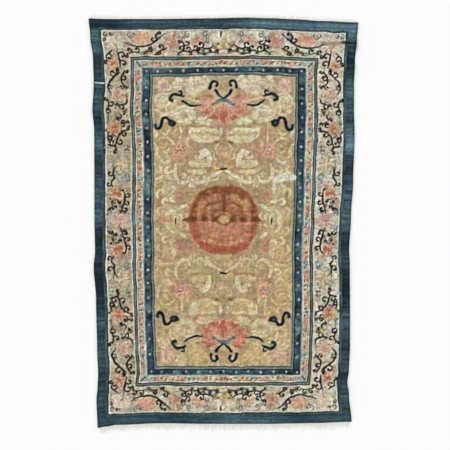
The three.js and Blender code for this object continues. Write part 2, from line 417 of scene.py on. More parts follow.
def twigs(quarter, box, count, seed, blooms):
    """Short twigs that fork into two hooks, scattered in a box clear of the flowers."""
    yarn, rng = quarter.yarn, np.random.default_rng(seed)
    tints = [blend(yarn.ink, second, share)
             for second, share in ((yarn.umber, 0.45), (yarn.teal, 0.55), (yarn.slate, 0.5))]
    for k in range(count):
        u, v = rng.uniform(box[0], box[1]), rng.uniform(box[2], box[3])
        lean, bend = rng.uniform(0, math.tau), rng.uniform(-0.9, 0.9)
        if any(math.hypot((u - at[0]) / at[2], (v - at[1]) / at[3]) < 1.15 for at in blooms):
            continue
        path = [(u, v), (u + 11 * math.cos(lean), v + 11 * math.sin(lean)),
                (u + 20 * math.cos(lean + bend), v + 20 * math.sin(lean + bend))]
        path = [(min(max(a, box[0]), box[1]), min(max(b, box[2]), box[3])) for a, b in path]
        quarter.stroke(path, 5, tints[k % 3], taper=(0.7, 0.9), strength=0.85)
        for hand in (-1, 1):
            side = lean + bend + hand * 1.2
            mid = (path[2][0] + 7.5 * math.cos(side), path[2][1] + 7.5 * math.sin(side))
            quarter.curl(mid[0], mid[1], 7.5, math.degrees(side) + 180, 4.4, tints[k % 3], hand=-hand,
                         turns=0.75, taper=(1.3, 0.9), strength=0.85)


# Petals in each of a flower's rings, and pale flecks over it
BLOOM_PETALS, BLOOM_FLECKS = 9, 8


def bloom(quarter, place, deep, warm, pale, turn, strength=0.78):
    """A worn flower in an oval place: pointed petals about a deep heart, dark veins and pale flecks."""
    u, v, half_u, half_v = place
    yarn, rng = quarter.yarn, np.random.default_rng(int(7 * u + v))
    small = min(half_u, half_v)
    quarter.spot(u, v, 0.7 * half_u, 0.7 * half_v, warm, soft=16, strength=0.6 * strength)
    for part in range(2):
        for k in range(BLOOM_PETALS):
            lean = turn + 360 * (k + 0.5 * part) / BLOOM_PETALS + rng.uniform(-12, 12)
            c, s = heading(lean)
            reach = math.hypot(half_u * c, half_v * s) * rng.uniform(0.8, 1.2)
            if part == 0:
                base, tip = ((warm, pale), (pale, warm))[k % 2]
                quarter.petal(u, v, lean, reach, 0.6 * small, base, tip=tip, full=1.4, strength=strength)
                continue
            first, last = rng.uniform(0.2, 0.35) * reach, rng.uniform(0.65, 0.95) * reach
            path = [(u + first * c, v + first * s), (u + last * c, v + last * s)]
            tint, firm = ((deep, 0.7), (yarn.umber, 0.5), (deep, 0.6))[k % 3]
            quarter.stroke(path, 4.2, tint, taper=(1.0, 0.6), strength=firm)
    quarter.spot(u, v, 0.26 * small, 0.22 * small, deep, soft=8, strength=strength)
    for k in range(BLOOM_FLECKS):
        at_u, at_v = u + rng.uniform(-0.8, 0.8) * half_u, v + rng.uniform(-0.8, 0.8) * half_v
        path = [(at_u, at_v), (at_u + rng.uniform(-9, 9), at_v + rng.uniform(-9, 9))]
        quarter.stroke(path, rng.uniform(3.4, 4.6), (yarn.ivory, pale)[k % 2], strength=0.55)


# Curls of the vine border along a side, across an end and in the corner: middle, radius, start and hand
SIDE_CURLS = (
    (470, 262, 20, 30, 1), (496, 236, 15, 200, -1), (462, 306, 16, 90, 1), (500, 300, 18, 300, 1),
    (478, 572, 16, 60, -1), (504, 590, 18, 180, 1), (462, 20, 16, 90, 1), (520, 22, 15, 0, -1),
    (456, 200, 14, 120, -1),
)
END_CURLS = (
    (80, 884, 14, 90, 1), (165, 884, 14, 60, 1), (182, 866, 12, 250, -1), (425, 886, 13, 60, 1),
    (206, 876, 12, 60, 1),
)
CORNER_CURLS = ((538, 886, 11, 60, 1), (516, 890, 9, 200, -1), (542, 862, 9, 300, -1))
# Stems of the vine along a side: width, hooks as share, hand and radius, then points of the run
SIDE_STEMS = (
    (7.6, ((0.12, 1, 13), (0.42, 1, 12), (0.70, 1, 11)),
     (486, 34), (480, 66), (470, 92), (467, 128), (474, 152)),
    (6.2, ((0.25, 1, 9),), (547, 50), (534, 64), (520, 58)),
    (6.4, ((0.1, -1, 11),), (528, 84), (516, 104), (496, 104)),
    (7.2, ((0.10, -1, 10), (0.55, -1, 12)), (522, 164), (530, 186), (517, 208), (520, 236), (502, 268)),
    (8, ((0.15, -1, 12),), (544, 362), (514, 355), (504, 338)),
    (7.8, ((0.15, 1, 15), (0.62, 1, 12)), (511, 352), (502, 386), (494, 406), (474, 426), (444, 434)),
    (6.8, ((0.25, 1, 11),), (478, 428), (485, 454), (474, 476), (455, 462)),
    (6.4, ((0.2, 1, 10),), (540, 376), (545, 398), (538, 424)),
    (7, ((0.3, -1, 10),), (488, 522), (475, 504), (482, 486)),
    (6.8, ((0.1, 1, 12), (0.6, 1, 12)), (536, 500), (545, 522), (534, 548), (541, 580)),
    (7, ((0.6, -1, 14),), (446, 580), (451, 560), (470, 557), (486, 546)),
    (8.4, ((0.25, 1, 11), (0.72, -1, 14)), (524, 606), (543, 632), (535, 664), (512, 688), (488, 708)),
    (7.2, ((0.12, -1, 11), (0.5, 1, 12)), (450, 638), (474, 662), (476, 690), (460, 716)),
    (8.2, ((0.12, -1, 15), (0.62, -1, 14)), (490, 808), (484, 772), (480, 736)),
    (6.8, ((0.3, -1, 12),), (516, 808), (530, 796), (546, 784), (542, 762)),
)
# Stems of the vine across an end, with the share of brown in each after its width
END_STEMS = (
    (6.4, 0.28, ((0.1, -1, 13),), (300, 862), (310, 878), (302, 896)),
    (6.2, 0.28, ((0.8, 1, 12),), (44, 834), (62, 823), (86, 820), (112, 824)),
    (5.0, 0.4, ((0.10, 1, 7), (0.55, 1, 7)), (22, 799), (50, 803), (88, 799)),
    (6.6, 0.28, ((0.3, 1, 12),), (112, 800), (136, 808), (154, 800)),
    (6.8, 0.28, ((0.05, 1, 12), (0.45, 1, 13)), (158, 800), (184, 808), (212, 798)),
    (6.4, 0.28, ((0.5, 1, 11),), (190, 812), (180, 834), (192, 856)),
    (6.4, 0.28, ((0.2, 1, 12), (0.7, -1, 8)), (262, 822), (284, 812), (312, 800)),
    (5.0, 0.45, ((0.15, 1, 10),), (326, 799), (346, 803), (368, 799)),
    (5.2, 0.45, ((0.1, 1, 11), (0.6, 1, 10)), (388, 799), (414, 804), (446, 798)),
)
# The long stem across an end, from the corner flower inwards
GARLAND = ((454, 850), (425, 838), (395, 831), (352, 831), (314, 848), (288, 872), (262, 893))


def side_vine(quarter):
    """The vine along a long side: clusters of hooked stems, with fallen leaves and twigs between."""
    grey = blend(quarter.yarn.slate, quarter.yarn.teal, 0.6)
    fallen_leaves(quarter, (446, 544, 0, 800), 130, 71)
    for u, v, radius, start, hand in SIDE_CURLS:
        quarter.curl(u, v, radius, start, 5.4, grey, hand=hand, tail=14, turns=0.75, strength=0.85)
    twigs(quarter, (450, 540, 20, 800), 26, 73, SIDE_BLOOMS)
    for width, hooks, *path in SIDE_STEMS:
        vine(quarter, path, width, hooks)


def side_flowers(quarter):
    """The flowers of a long side: coral blooms, pale peonies, buds, leaves and small blue flowers."""
    yarn = quarter.yarn
    ivory, rose, coral, brick, gold = yarn.ivory, yarn.rose, yarn.coral, yarn.brick, yarn.gold
    straw, mauve = yarn.straw, yarn.mauve
    faded, peach = blend(coral, yarn.tan, 0.5), blend(rose, straw, 0.35)
    looks = (
        (brick, coral, peach, 10), (brick, faded, blend(peach, gold, 0.3), 30), (brick, faded, peach, 50),
        (mauve, blend(rose, mauve, 0.3), blend(rose, ivory, 0.4), 20, 0.6),
        (blend(rose, gold, 0.5), blend(rose, straw, 0.6), straw, 0, 0.6),
        (coral, blend(rose, coral, 0.3), blend(rose, ivory, 0.5), 15, 0.65))
    for place, look in zip(SIDE_BLOOMS, looks):
        bloom(quarter, place, *look)
    for u, v, half_u, half_v, tint, soft, strength in (
            (492, 130, 12, 13, brick, 9, 0.7), (484, 166, 14, 8, coral, 8, 0.7),
            (510, 424, 12, 10, brick, 9, 0.6)):
        quarter.spot(u, v, half_u, half_v, tint, soft=soft, strength=strength)
    for u, v, turn in ((544, 112, 250), (545, 456, 260), (547, 724, 250), (470, 508, 60)):
        quarter.petal(u, v, turn, 36, 15, straw, tip=gold, rim=yarn.khaki, full=1.0, strength=0.7)
    for u, v in ((530, 330), (466, 216), (532, 40), (500, 536), (526, 634)):
        quarter.fan(u, v, range(90, 450, 72), 15, 10, yarn.slate, tip=ivory, full=1.4, strength=0.6)
        quarter.spot(u, v, 4.5, 4.5, yarn.teal, strength=0.7)


def end_vine(quarter):
    """The border across an end: lotus, pink flower and hooked stems, with a pale lotus in the corner."""
    yarn = quarter.yarn
    ivory, rose, coral, cream, straw = yarn.ivory, yarn.rose, yarn.coral, yarn.cream, yarn.straw
    grey, peach = blend(yarn.slate, yarn.ink, 0.5), blend(rose, straw, 0.35)
    fallen_leaves(quarter, (0, 540, 794, 896), 110, 74)
    twigs(quarter, (6, 440, 800, 892), 16, 75, END_BLOOMS)
    for u, v, radius, start, hand in END_CURLS:
        quarter.curl(u, v, radius, start, 5, grey, hand=hand, tail=8, strength=0.8)
    bloom(quarter, END_BLOOMS[0], yarn.brick, blend(coral, yarn.gold, 0.25), peach, 90)
    turns = (24, 50, 76, 104, 130, 156)
    quarter.fan(370, 840, turns, 54, 18, peach, tip=coral, rim=rose, full=1.4, strength=0.6)
    bloom(quarter, END_BLOOMS[1], yarn.brick, blend(yarn.mauve, coral, 0.5), rose, 80)
    quarter.fan(232, 822, (30, 70, 110, 150), 56, 20, yarn.mauve, tip=rose, full=1.4, strength=0.5)
    bloom(quarter, END_BLOOMS[2], coral, blend(rose, coral, 0.4), blend(rose, straw, 0.3), 40, 0.7)
    bloom(quarter, END_BLOOMS[3], blend(rose, cream, 0.4), cream, ivory, 55, 0.7)
    quarter.fan(486, 826, (5, 35, 75, 105), 58, 22, cream, tip=ivory, rim=peach, full=1.4, strength=0.6)
    quarter.stroke(GARLAND, 8.5, blend(yarn.ink, yarn.umber, 0.15), taper=(0.5, 0.6), soft=4)
    for width, tint, hooks, *path in END_STEMS:
        vine(quarter, path, width, hooks, tint)
    quarter.stroke([(487, 802), (490, 830), (502, 846)], 4.5, yarn.umber, strength=0.6)
    for u, v, radius, start, hand in CORNER_CURLS:
        quarter.curl(u, v, radius, start, 5.2, blend(yarn.ink, yarn.slate, 0.1), hand=hand, tail=6)


def end_middle(chart, end):
    """The middle of an end's border: a gold flower under an arch, between pale panels."""
    yarn = chart.yarn
    halves = [Quarter(chart, side, end) for side in (-1, 1)]
    whole = halves[1]
    for half in halves:
        half.spot(34, 868, 24, 22, blend(yarn.ivory, yarn.straw, 0.4), soft=8, strength=0.8)
        half.stroke([(2, 844), (22, 838), (42, 824)], 7, yarn.umber, strength=0.7)
        half.petal(4, 820, 20, 42, 18, yarn.gold, tip=yarn.khaki, full=1.2)
    whole.fan(0, 820, range(18, 198, 36), 31, 18, yarn.gold, tip=yarn.straw, rim=yarn.khaki)
    whole.stroke([(-12, 897), (-12, 874)], 7, yarn.ink, taper=(1, 0.5))


def guard_lines(chart):
    """The lines from the vine border in to the florets."""
    yarn, mottled = chart.yarn, chart.mottled
    change = chart.streaks(76, 70, 38)
    brown, blue = 0.6 * held(1.8 * change), 0.7 * held(-1.8 * change)
    dark = blend(mottled(yarn.ink, yarn.teal, 0.36, 0.6, 60, 40, 12), yarn.umber * 0.9, brown)
    middle = blend(mottled(yarn.teal, yarn.slate, 0.30, 0.4, 60, 40, 13), yarn.umber, brown)
    chart.band(438, 788, mottled(yarn.cream, yarn.straw, 0.4, 0.4, 50, 40, 26))
    chart.band(432.5, 782.5, blend(dark, yarn.indigo, blue))
    chart.band(427.5, 777, blend(middle, blend(yarn.steel, yarn.slate, 0.4), blue))
    chart.band(421.5, 771, mottled(dark, yarn.slate, 0.1, 0.3, 60, 40, 15))
    chart.band(416, 765, mottled(yarn.ivory, yarn.slate, 0.35, 0.35, 50, 40, 27))
    chart.band(410, 759, mottled(yarn.khaki, yarn.umber, 0.3, 0.5, 30, 24, 30))
    chart.band(406.5, 755.5, mottled(yarn.straw, yarn.cream, 0.5, 0.4, 50, 30, 14) * 0.92)


# The florets' middle line, across and along, their half width, and the length of each kind in turn
FLORET_LINE, FLORET_HALF, FLORET_LENGTHS = (397, 747), 11.5, (58, 56, 56, 40)


def floret_guard(chart):
    """A strip of small florets in turn: rose, straw, rose, then a pale blue leaf."""
    yarn, rng = chart.yarn, np.random.default_rng(81)
    peach = blend(yarn.rose, yarn.coral, 0.62)
    kinds = ((peach, yarn.brick), (yarn.straw, yarn.umber), (blend(peach, yarn.straw, 0.3), yarn.brick),
             (blend(yarn.slate, yarn.ivory, 0.35), yarn.teal))

    def floret(x, y, across, kind, length):
        body, dot = kinds[kind]
        half = (length / 3.6, FLORET_HALF) if across else (FLORET_HALF, length / 3.6)

        def beside(at, aside):
            return (x + at, y + aside) if across else (x + aside, y + at)

        for k in (-1, 1):
            px, py = beside(k * length / 4 + rng.uniform(-3, 3), rng.uniform(-2, 2))
            chart.spot(px, py, half[0] * rng.uniform(0.85, 1.1), half[1] * rng.uniform(0.85, 1.05), body,
                       soft=6, strength=rng.uniform(0.75, 1.0))
            chart.spot(px + rng.uniform(-3, 3), py + rng.uniform(-3, 3), 5, 5, dot, soft=5,
                       strength=rng.uniform(0.3, 0.75))
        for k in range(4):
            px, py = beside(rng.uniform(-0.5, 0.5) * length, rng.uniform(-10, 10))
            half_x, half_y = rng.uniform(3.0, 4.8), rng.uniform(3.0, 5.4)
            speck = blend(dot, yarn.umber, rng.uniform(0.2, 0.9)) * 0.85
            chart.spot(px, py, half_x, half_y, speck, soft=4, strength=rng.uniform(0.5, 0.9))
            chart.spot(px + 7, py - 6, 3.4, 3.4, yarn.ivory, strength=0.5)

    def row(across, side, end, at, limit, kind, spacing):
        while at < limit:
            length = FLORET_LENGTHS[kind]
            middle = at + length / 2
            x, y = (middle, FLORET_LINE[1]) if across else (FLORET_LINE[0], middle)
            floret(side * x, end * y, across, kind, length * 0.94)
            at, kind = at + length * spacing, (kind + 1) % len(kinds)

    for a in (-1, 1):
        for b in (-1, 1):
            row(True, b, a, 22.0, 350, 1, 1.0)
            row(False, a, b, 18.0, 712, 0, 1.02)
        floret(0, a * FLORET_LINE[1], True, 0, 44)
        floret(a * FLORET_LINE[0], 0, False, 3, 36)
    for side, end in QUARTERS:
        corner = Quarter(chart, side, end)
        corner.stroke([(402, 700), (402, 752), (352, 752)], 7, blend(yarn.slate, yarn.ivory, 0.3))
        corner.stroke([(386, 736), (405, 757)], 7, yarn.teal * 0.8)


# The line of the pearls across an end, their spacing there and along a side
PEARL_LINE, PEARL_STEP_ACROSS, PEARL_STEP_ALONG = 716, 61.5, 67.0


def pearl_guard(chart):
    """The navy stripe with its pearls, and the lines on both sides of it."""
    yarn, streaks, mottled = chart.yarn, chart.streaks, chart.mottled
    rng = np.random.default_rng(25)
    chart.band(386.5, 737.5, mottled(yarn.ivory, yarn.slate, 0.45, 0.4, 50, 40, 21))
    chart.band(380, 732, mottled(yarn.steel, yarn.slate, 0.2, 0.4, 50, 40, 23))
    lots = held(0.60 + 0.5 * streaks(60, 46, 22) + 0.4 * streaks(15, 12, 28))
    stripe = blend(yarn.navy, blend(yarn.teal, yarn.slate, 0.2), lots)
    stripe = blend(stripe, yarn.indigo, 0.8 * held(1.8 * streaks(64, 58, 39)))
    chart.band(375.5, 728, blend(stripe, yarn.navy * 0.9, 0.6 * held(1.8 * streaks(58, 66, 40))))

    def pearl(x, y):
        tint = blend(yarn.pearl, yarn.rose, 0.35 * (x < 0) + rng.uniform(0, 0.2)) * rng.uniform(0.72, 0.98)
        chart.spot(x + rng.uniform(-2, 2), y + rng.uniform(-2, 2), 5.6, 6.0, tint, soft=5, strength=0.92)

    for a in (-1, 1):
        for i in range(-5, 6):
            pearl(i * PEARL_STEP_ACROSS, a * PEARL_LINE)
        for i in range(-10, 10):
            pearl(a * 359.5, i * PEARL_STEP_ALONG + (24 if a > 0 else 38))
        for b in (-1, 1):
            pearl(a * 361, b * PEARL_LINE)
    chart.band(346.5, 706.5, blend(yarn.ink, yarn.navy, 0.5))
    chart.band(342, 702.5, mottled(yarn.teal, yarn.slate, 0.3, 0.4, 60, 50, 24))
    chart.band(334.5, 693, blend(yarn.ink, yarn.teal, 0.4))


def field_ground(chart):
    """The tan ground of the field, dappled with straw, paler to the ends and warmer to the near one."""
    yarn, streaks = chart.yarn, chart.streaks
    pale = blend(yarn.straw, yarn.gold, 0.12 + 0.42 * held(0.5 - chart.y / 1400))
    ends = held((np.abs(chart.y) - 430) / 60)
    dapple = 0.20 + 0.16 * ends + 0.30 * streaks(48, 42, 31, True) + 0.22 * streaks(21, 19, 32, True)
    ground = blend(blend(yarn.taupe, yarn.tan, 0.16), pale, held(dapple))
    ground = blend(ground, blend(yarn.rose, yarn.mauve, 0.4), 0.36 * held(streaks(36, 44, 33)))
    ground = blend(ground, yarn.khaki, 0.26 * held(streaks(30, 26, 34)))
    chart.band(331, 688.5, ground)
    edge = outside(chart.x, chart.y, (331, 688.5))
    chart.lay(chart.all, 0.5 * held(1 - np.abs(edge + 9) / 6), blend(yarn.rose, yarn.taupe, 0.6))
    broken = streaks(60, 60, 37) > -0.4
    chart.lay(chart.all, 0.7 * held(1 - np.abs(edge + 20) / 18) * broken, yarn.taupe)


# Clouds at the end of the field: middle, half sizes, tint, core, bumps and the turn of the first bump
FIELD_CLOUDS = (
    (160, 604, 52, 18, "straw", None, 6, 0.0), (92, 664, 30, 26, "crest", None, 5, 0.6),
    (280, 642, 42, 34, "blush", "plum", 8, 0.0), (206, 656, 34, 30, "pale", "gold", 6, 0.3),
    (136, 644, 56, 44, "crest", "heart", 8, 0.2), (288, 578, 38, 24, "pale", None, 6, 0.0),
    (276, 526, 44, 36, "straw", "shade", 7, 0.0), (230, 542, 32, 28, "straw", None, 6, 0.0),
    (184, 504, 58, 42, "pale", "olive", 8, 0.4), (92, 474, 42, 22, "pale", None, 6, 0.0),
)
# Dark hollows between the clouds: middle, half sizes and turn
FIELD_HOLLOWS = (
    (318, 640, 12, 40, 0), (232, 602, 12, 7, 0), (236, 488, 22, 7, 20), (140, 470, 8, 12, 0),
    (304, 504, 12, 6, 0), (76, 606, 10, 20, 0), (178, 622, 6, 14, 0), (252, 660, 6, 16, 0),
)
# Scrolls of the field: width, tint, then points of the run
CLOUD_SCROLLS = (
    (13, "straw", (112, 566), (146, 576), (180, 588), (216, 588)),
    (14, "pale", (214, 574), (250, 562), (264, 536), (258, 508)),
    (14, "pale", (262, 604), (292, 606), (314, 586), (318, 556)),
    (14, "pale", (140, 536), (170, 546), (204, 540), (230, 518)),
)
FLOWER_BRANCHES = (
    (12, "warm", (203, 450), (201, 412), (204, 380), (207, 350)),
    (14, "straw", (222, 352), (240, 376), (262, 396), (290, 396), (306, 378)),
    (16, "gold", (216, 442), (236, 420), (262, 426), (272, 446)),
    (17, "straw", (324, 430), (310, 412), (318, 394)), (14, "straw", (252, 436), (272, 412), (294, 420)),
    (18, "straw", (322, 366), (312, 342), (316, 316), (300, 304)),
    (16, "gold", (262, 372), (280, 350), (302, 350)), (16, "straw", (252, 346), (268, 330), (290, 334)),
    (14, "straw", (166, 392), (176, 368), (164, 348)),
)
BUD_SCROLLS = (
    (12, "gold", (8, 254), (30, 250), (54, 262)), (10, "straw", (30, 318), (38, 342), (26, 362)),
    (11, "straw", (34, 290), (48, 304), (46, 326)),
)
MEDALLION_SCROLLS = (
    (18, "pale", (12, 236), (38, 222), (64, 208), (80, 188), (84, 170)),
    (14, "straw", (22, 214), (36, 198), (54, 196)),
    (18, "pale", (88, 214), (90, 192), (112, 182), (138, 188), (150, 202)),
    (14, "straw", (112, 212), (124, 204), (120, 192)),
    (20, "pale", (222, 268), (230, 236), (222, 204), (196, 184), (170, 190), (160, 212)),
    (14, "straw", (190, 206), (180, 214), (184, 226), (198, 224)),
    (15, "pale", (138, 162), (146, 176), (140, 186)), (15, "pale", (156, 160), (160, 176), (154, 186)),
    (17, "pale", (240, 236), (262, 230), (274, 246), (260, 258)),
    (17, "pale", (250, 300), (262, 282), (282, 278), (294, 292)),
    (16, "straw", (306, 262), (294, 246), (304, 232), (320, 238)),
    (15, "gold", (226, 296), (238, 312), (230, 330)), (20, "pale", (240, 172), (236, 148), (246, 122)),
    (18, "pale", (228, 92), (248, 96), (252, 116)), (17, "straw", (270, 178), (284, 152), (278, 126)),
    (16, "pale", (264, 98), (280, 104), (290, 90), (278, 76), (264, 80)),
    (18, "pale", (172, 80), (194, 68), (214, 52)), (20, "pale", (246, 52), (264, 34), (264, 12), (252, 0)),
    (17, "straw", (214, 34), (200, 22), (202, 2)), (17, "straw", (300, 152), (314, 132), (306, 110)),
    (17, "straw", (298, 66), (312, 48), (302, 26)), (16, "gold", (292, 200), (308, 186), (322, 194)),
    (15, "straw", (178, 36), (172, 20), (184, 8)),
)
# Broad leaves of the wing beside the lotus and of the bud: width, taper, then points of the run
WING_LEAVES = (
    (38, (0.5, 0.9), (26, 392), (70, 386), (112, 388)), (40, (0.5, 0.9), (34, 424), (90, 422), (146, 424)),
)
BUD_LEAVES = (
    (40, (0.8, 0.7), (74, 272), (110, 272), (148, 276)), (26, (0.7, 0.6), (84, 236), (120, 232), (164, 240)),
)
# Pale ground under the scrolls round the medallion: middle and half sizes
MEDALLION_GROUND = (
    (150, 196, 76, 24), (250, 150, 40, 56), (246, 26, 54, 42), (280, 268, 42, 44), (44, 212, 40, 22),
)


def field_tints(quarter):
    """The tints of a quarter's scrolls, paler and firmer at the far end and warmer at the near one."""
    yarn, far = quarter.yarn, quarter.end > 0
    straw = yarn.straw if far else blend(yarn.straw, yarn.gold, 0.5)
    gold = blend(yarn.gold, yarn.straw, 0.3)
    pale = blend(yarn.straw, yarn.ivory, 0.5 if far else 0.05)
    blush = blend(yarn.rose, pale, 0.35)
    return SimpleNamespace(
        straw=straw, gold=gold, pale=pale, blush=blush, warm=blend(straw, blush, 0.5),
        edge=blend(yarn.khaki, yarn.tan, 0.35), shade=blend(yarn.taupe, yarn.khaki, 0.3),
        plum=blend(yarn.mauve, blush, 0.4), olive=blend(yarn.khaki, blush, 0.5),
        crest=pale if far else gold, heart=blush if far else straw, firm=0.95 if far else 0.75)


def cloud(quarter, tints, u, v, half_u, half_v, tint, core, bumps, start):
    """A cloud of bumps with a faint edge and creases, and with a core where one is named."""
    turns = [start + math.tau * k / bumps for k in range(bumps)]
    for grow, colour, strength in ((5, tints.edge, 0.22), (0, getattr(tints, tint), tints.firm)):
        quarter.spot(u, v, 0.72 * half_u + grow, 0.72 * half_v + grow, colour, soft=10, strength=strength)
        for k, turn in enumerate(turns):
            size = 0.40 + 0.08 * math.sin(2.7 * k + u)
            quarter.spot(u + 0.62 * half_u * math.cos(turn), v + 0.62 * half_v * math.sin(turn),
                         size * half_u + grow, size * half_v + grow, colour, soft=8, strength=strength)
    for turn in turns:
        c, s = math.cos(turn + 0.4), math.sin(turn + 0.4)
        crease = [(u + share * half_u * c, v + share * half_v * s) for share in (0.4, 0.9)]
        quarter.stroke(crease, 4.5, tints.edge, strength=0.3, soft=5)
    if core is not None:
        quarter.spot(u, v, 0.34 * half_u, 0.34 * half_v, getattr(tints, core), soft=10, strength=0.8)


def scrolls(quarter, tints, rows):
    """Cloud scrolls, one to a row."""
    for width, name, *points in rows:
        quarter.scroll(points, width, getattr(tints, name), tints.edge)


def broad_leaves(quarter, tints, rows):
    """Broad leaves that lie together within one darker edge."""
    for grow, tint, strength in ((8, tints.edge, 0.4), (0, tints.straw, tints.firm)):
        for width, taper, *points in rows:
            quarter.stroke(points, width + grow, tint, taper=taper, soft=7, strength=strength)


def end_clouds(quarter, tints):
    """The clouds at the end of the field, with scrolls and dark hollows between them."""
    for row in FIELD_CLOUDS:
        cloud(quarter, tints, *row)
    scrolls(quarter, tints, CLOUD_SCROLLS)
    for u, v, half_u, half_v, turn in FIELD_HOLLOWS:
        quarter.spot(u, v, half_u, half_v, tints.shade, turn=turn, soft=9, strength=0.6)


def lotus_wing(quarter, tints):
    """The barred wing beside the foot of the lotus."""
    yarn, pale = quarter.yarn, tints.pale
    broad_leaves(quarter, tints, WING_LEAVES)
    quarter.petal(108, 368, 54, 92, 46, pale, full=1.3, strength=0.8)
    quarter.stroke([(30, 396), (70, 378), (106, 374)], 12, pale, taper=(0.4, 1.0), soft=6, strength=0.6)
    quarter.stroke([(50, 414), (100, 410), (148, 416)], 13, tints.gold * 0.96, soft=8, strength=0.75)
    quarter.stroke([(44, 434), (96, 437), (160, 440)], 12, pale, soft=7, strength=0.8)
    quarter.petal(0, 468, -90, 76, 44, blend(yarn.mauve, tints.shade, 0.5), full=0.8, strength=0.45)
    quarter.petal(12, 448, -84, 46, 17, blend(yarn.ivory, yarn.rose, 0.3), strength=0.75)
    quarter.spot(33, 373, 13, 7, yarn.khaki * 0.82, soft=7, strength=0.75)


def bud_leaves(quarter, tints):
    """Leaves beside the bud: one hooked outwards, two broad and ribbed."""
    gold, pale = tints.gold, tints.pale
    broad_leaves(quarter, tints, BUD_LEAVES)
    for k in range(3):
        rib = [(u, v + 9 * k) for u, v in ((74, 263), (110, 262), (148, 266))]
        quarter.stroke(rib, 5, (gold, pale)[k % 2], strength=0.6, soft=5)
    hook = [(68, 262), (69, 294), (78, 320), (92, 334), (103, 330)]
    for wide, tint, strength in ((36, tints.edge, 0.4), (28, pale, 1.0)):
        quarter.stroke(hook, wide, tint, taper=(0.45, 0.6), soft=6, strength=strength)
    quarter.petal(88, 304, 44, 40, 20, pale, strength=0.9)
    quarter.petal(92, 298, 12, 48, 18, pale, strength=0.9)
    quarter.spot(26, 266, 24, 12, gold, soft=8, strength=0.9)
    quarter.spot(28, 270, 11, 5, quarter.yarn.khaki, soft=7, strength=0.6)
    scrolls(quarter, tints, BUD_SCROLLS)


def medallion_scrolls(quarter, tints):
    """The scrolls that hold the medallion, and the cloud scrolls beside it."""
    yarn, far, right = quarter.yarn, quarter.end > 0, quarter.side > 0
    for u, v, half_u, half_v in MEDALLION_GROUND:
        quarter.spot(u, v, half_u, half_v, tints.straw, soft=26, strength=0.5)
    scrolls(quarter, tints, MEDALLION_SCROLLS)
    if right and far:
        patch = [(238, 184), (266, 202), (298, 212), (326, 206)]
        quarter.stroke(patch, 38, yarn.ivory, taper=(0.6, 0.8), soft=8, strength=0.9)
    else:
        quarter.scroll([(236, 196), (266, 208), (298, 210), (322, 200)], 20, tints.straw, tints.edge)
    quarter.spot(182, 112, 34, 30, tints.shade, soft=16, strength=0.6)
    blush = blend(yarn.coral, yarn.mauve, 0.5)
    quarter.spot(202, 118, 20, 30, blush, soft=16, strength=0.55 if far else 0.9)
    if far and not right:
        quarter.spot(280, 8, 32, 20, blend(yarn.gold, yarn.tan, 0.6), soft=12, strength=0.7)


def field_scrolls(quarter):
    """Cloud scrolls and leaves of one quarter of the field."""
    tints = field_tints(quarter)
    end_clouds(quarter, tints)
    lotus_wing(quarter, tints)
    scrolls(quarter, tints, FLOWER_BRANCHES)
    bud_leaves(quarter, tints)
    medallion_scrolls(quarter, tints)


def field_flowers(quarter):
    """The small pink flower between the bud and the lotus."""
    yarn = quarter.yarn
    warm = blend(yarn.coral, yarn.rose, 0.35)
    tip = blend(yarn.rose, yarn.straw, 0.3)
    quarter.spot(204, 330, 42, 36, blend(warm, yarn.tan, 0.3), soft=22, strength=0.7)
    turns = [20 + 360 * k / 7 for k in range(7)]
    quarter.fan(204, 332, turns, 36, 28, warm, tip=tip, full=1.5, strength=0.55)
    for turn in range(0, 360, 60):
        c, s = heading(turn + 12)
        quarter.spot(204 + 22 * c, 334 + 17 * s, 7, 5, yarn.brick, turn=turn, soft=6, strength=0.5)
    quarter.spot(206, 334, 14, 11, blend(yarn.ivory, yarn.rose, 0.5), soft=9, strength=0.8)
    heart = blend(yarn.brick, yarn.ink, 0.3) if quarter.side < 0 else yarn.slate * 0.8
    quarter.stroke([(197, 330), (206, 334), (216, 331)], 6, heart, soft=5, strength=0.8)


def lotus_fan(half, warm, wing):
    """One half of the lotus's petals: three pale wings and four veined petals of the fan."""
    yarn = half.yarn
    for turn, length in ((-4, 112), (12, 104), (28, 92)):
        c, s = heading(turn)
        half.petal(8, 556, turn, length, 28, wing, tip=warm, rim=yarn.rose, full=1.4)
        for k in (-5, 5):
            vein = [(30, 560 + turn * 0.5 + k), (28 + 72 * c, 558 + 72 * s + k)]
            half.stroke(vein, 3.8, yarn.brick, strength=0.4)
    for turn, length in ((-10, 114), (-28, 110), (-48, 102), (-68, 96)):
        half.petal(4, 562, turn, length, 44, yarn.rose, tip=warm, rim=blend(wing, warm, 0.5), full=1.5)
        half.petal(4, 562, turn, length * 0.86, 15, yarn.brick, tip=warm, full=1.4, strength=0.4)


# Veins scattered over each half of the lotus
LOTUS_VEINS = 24


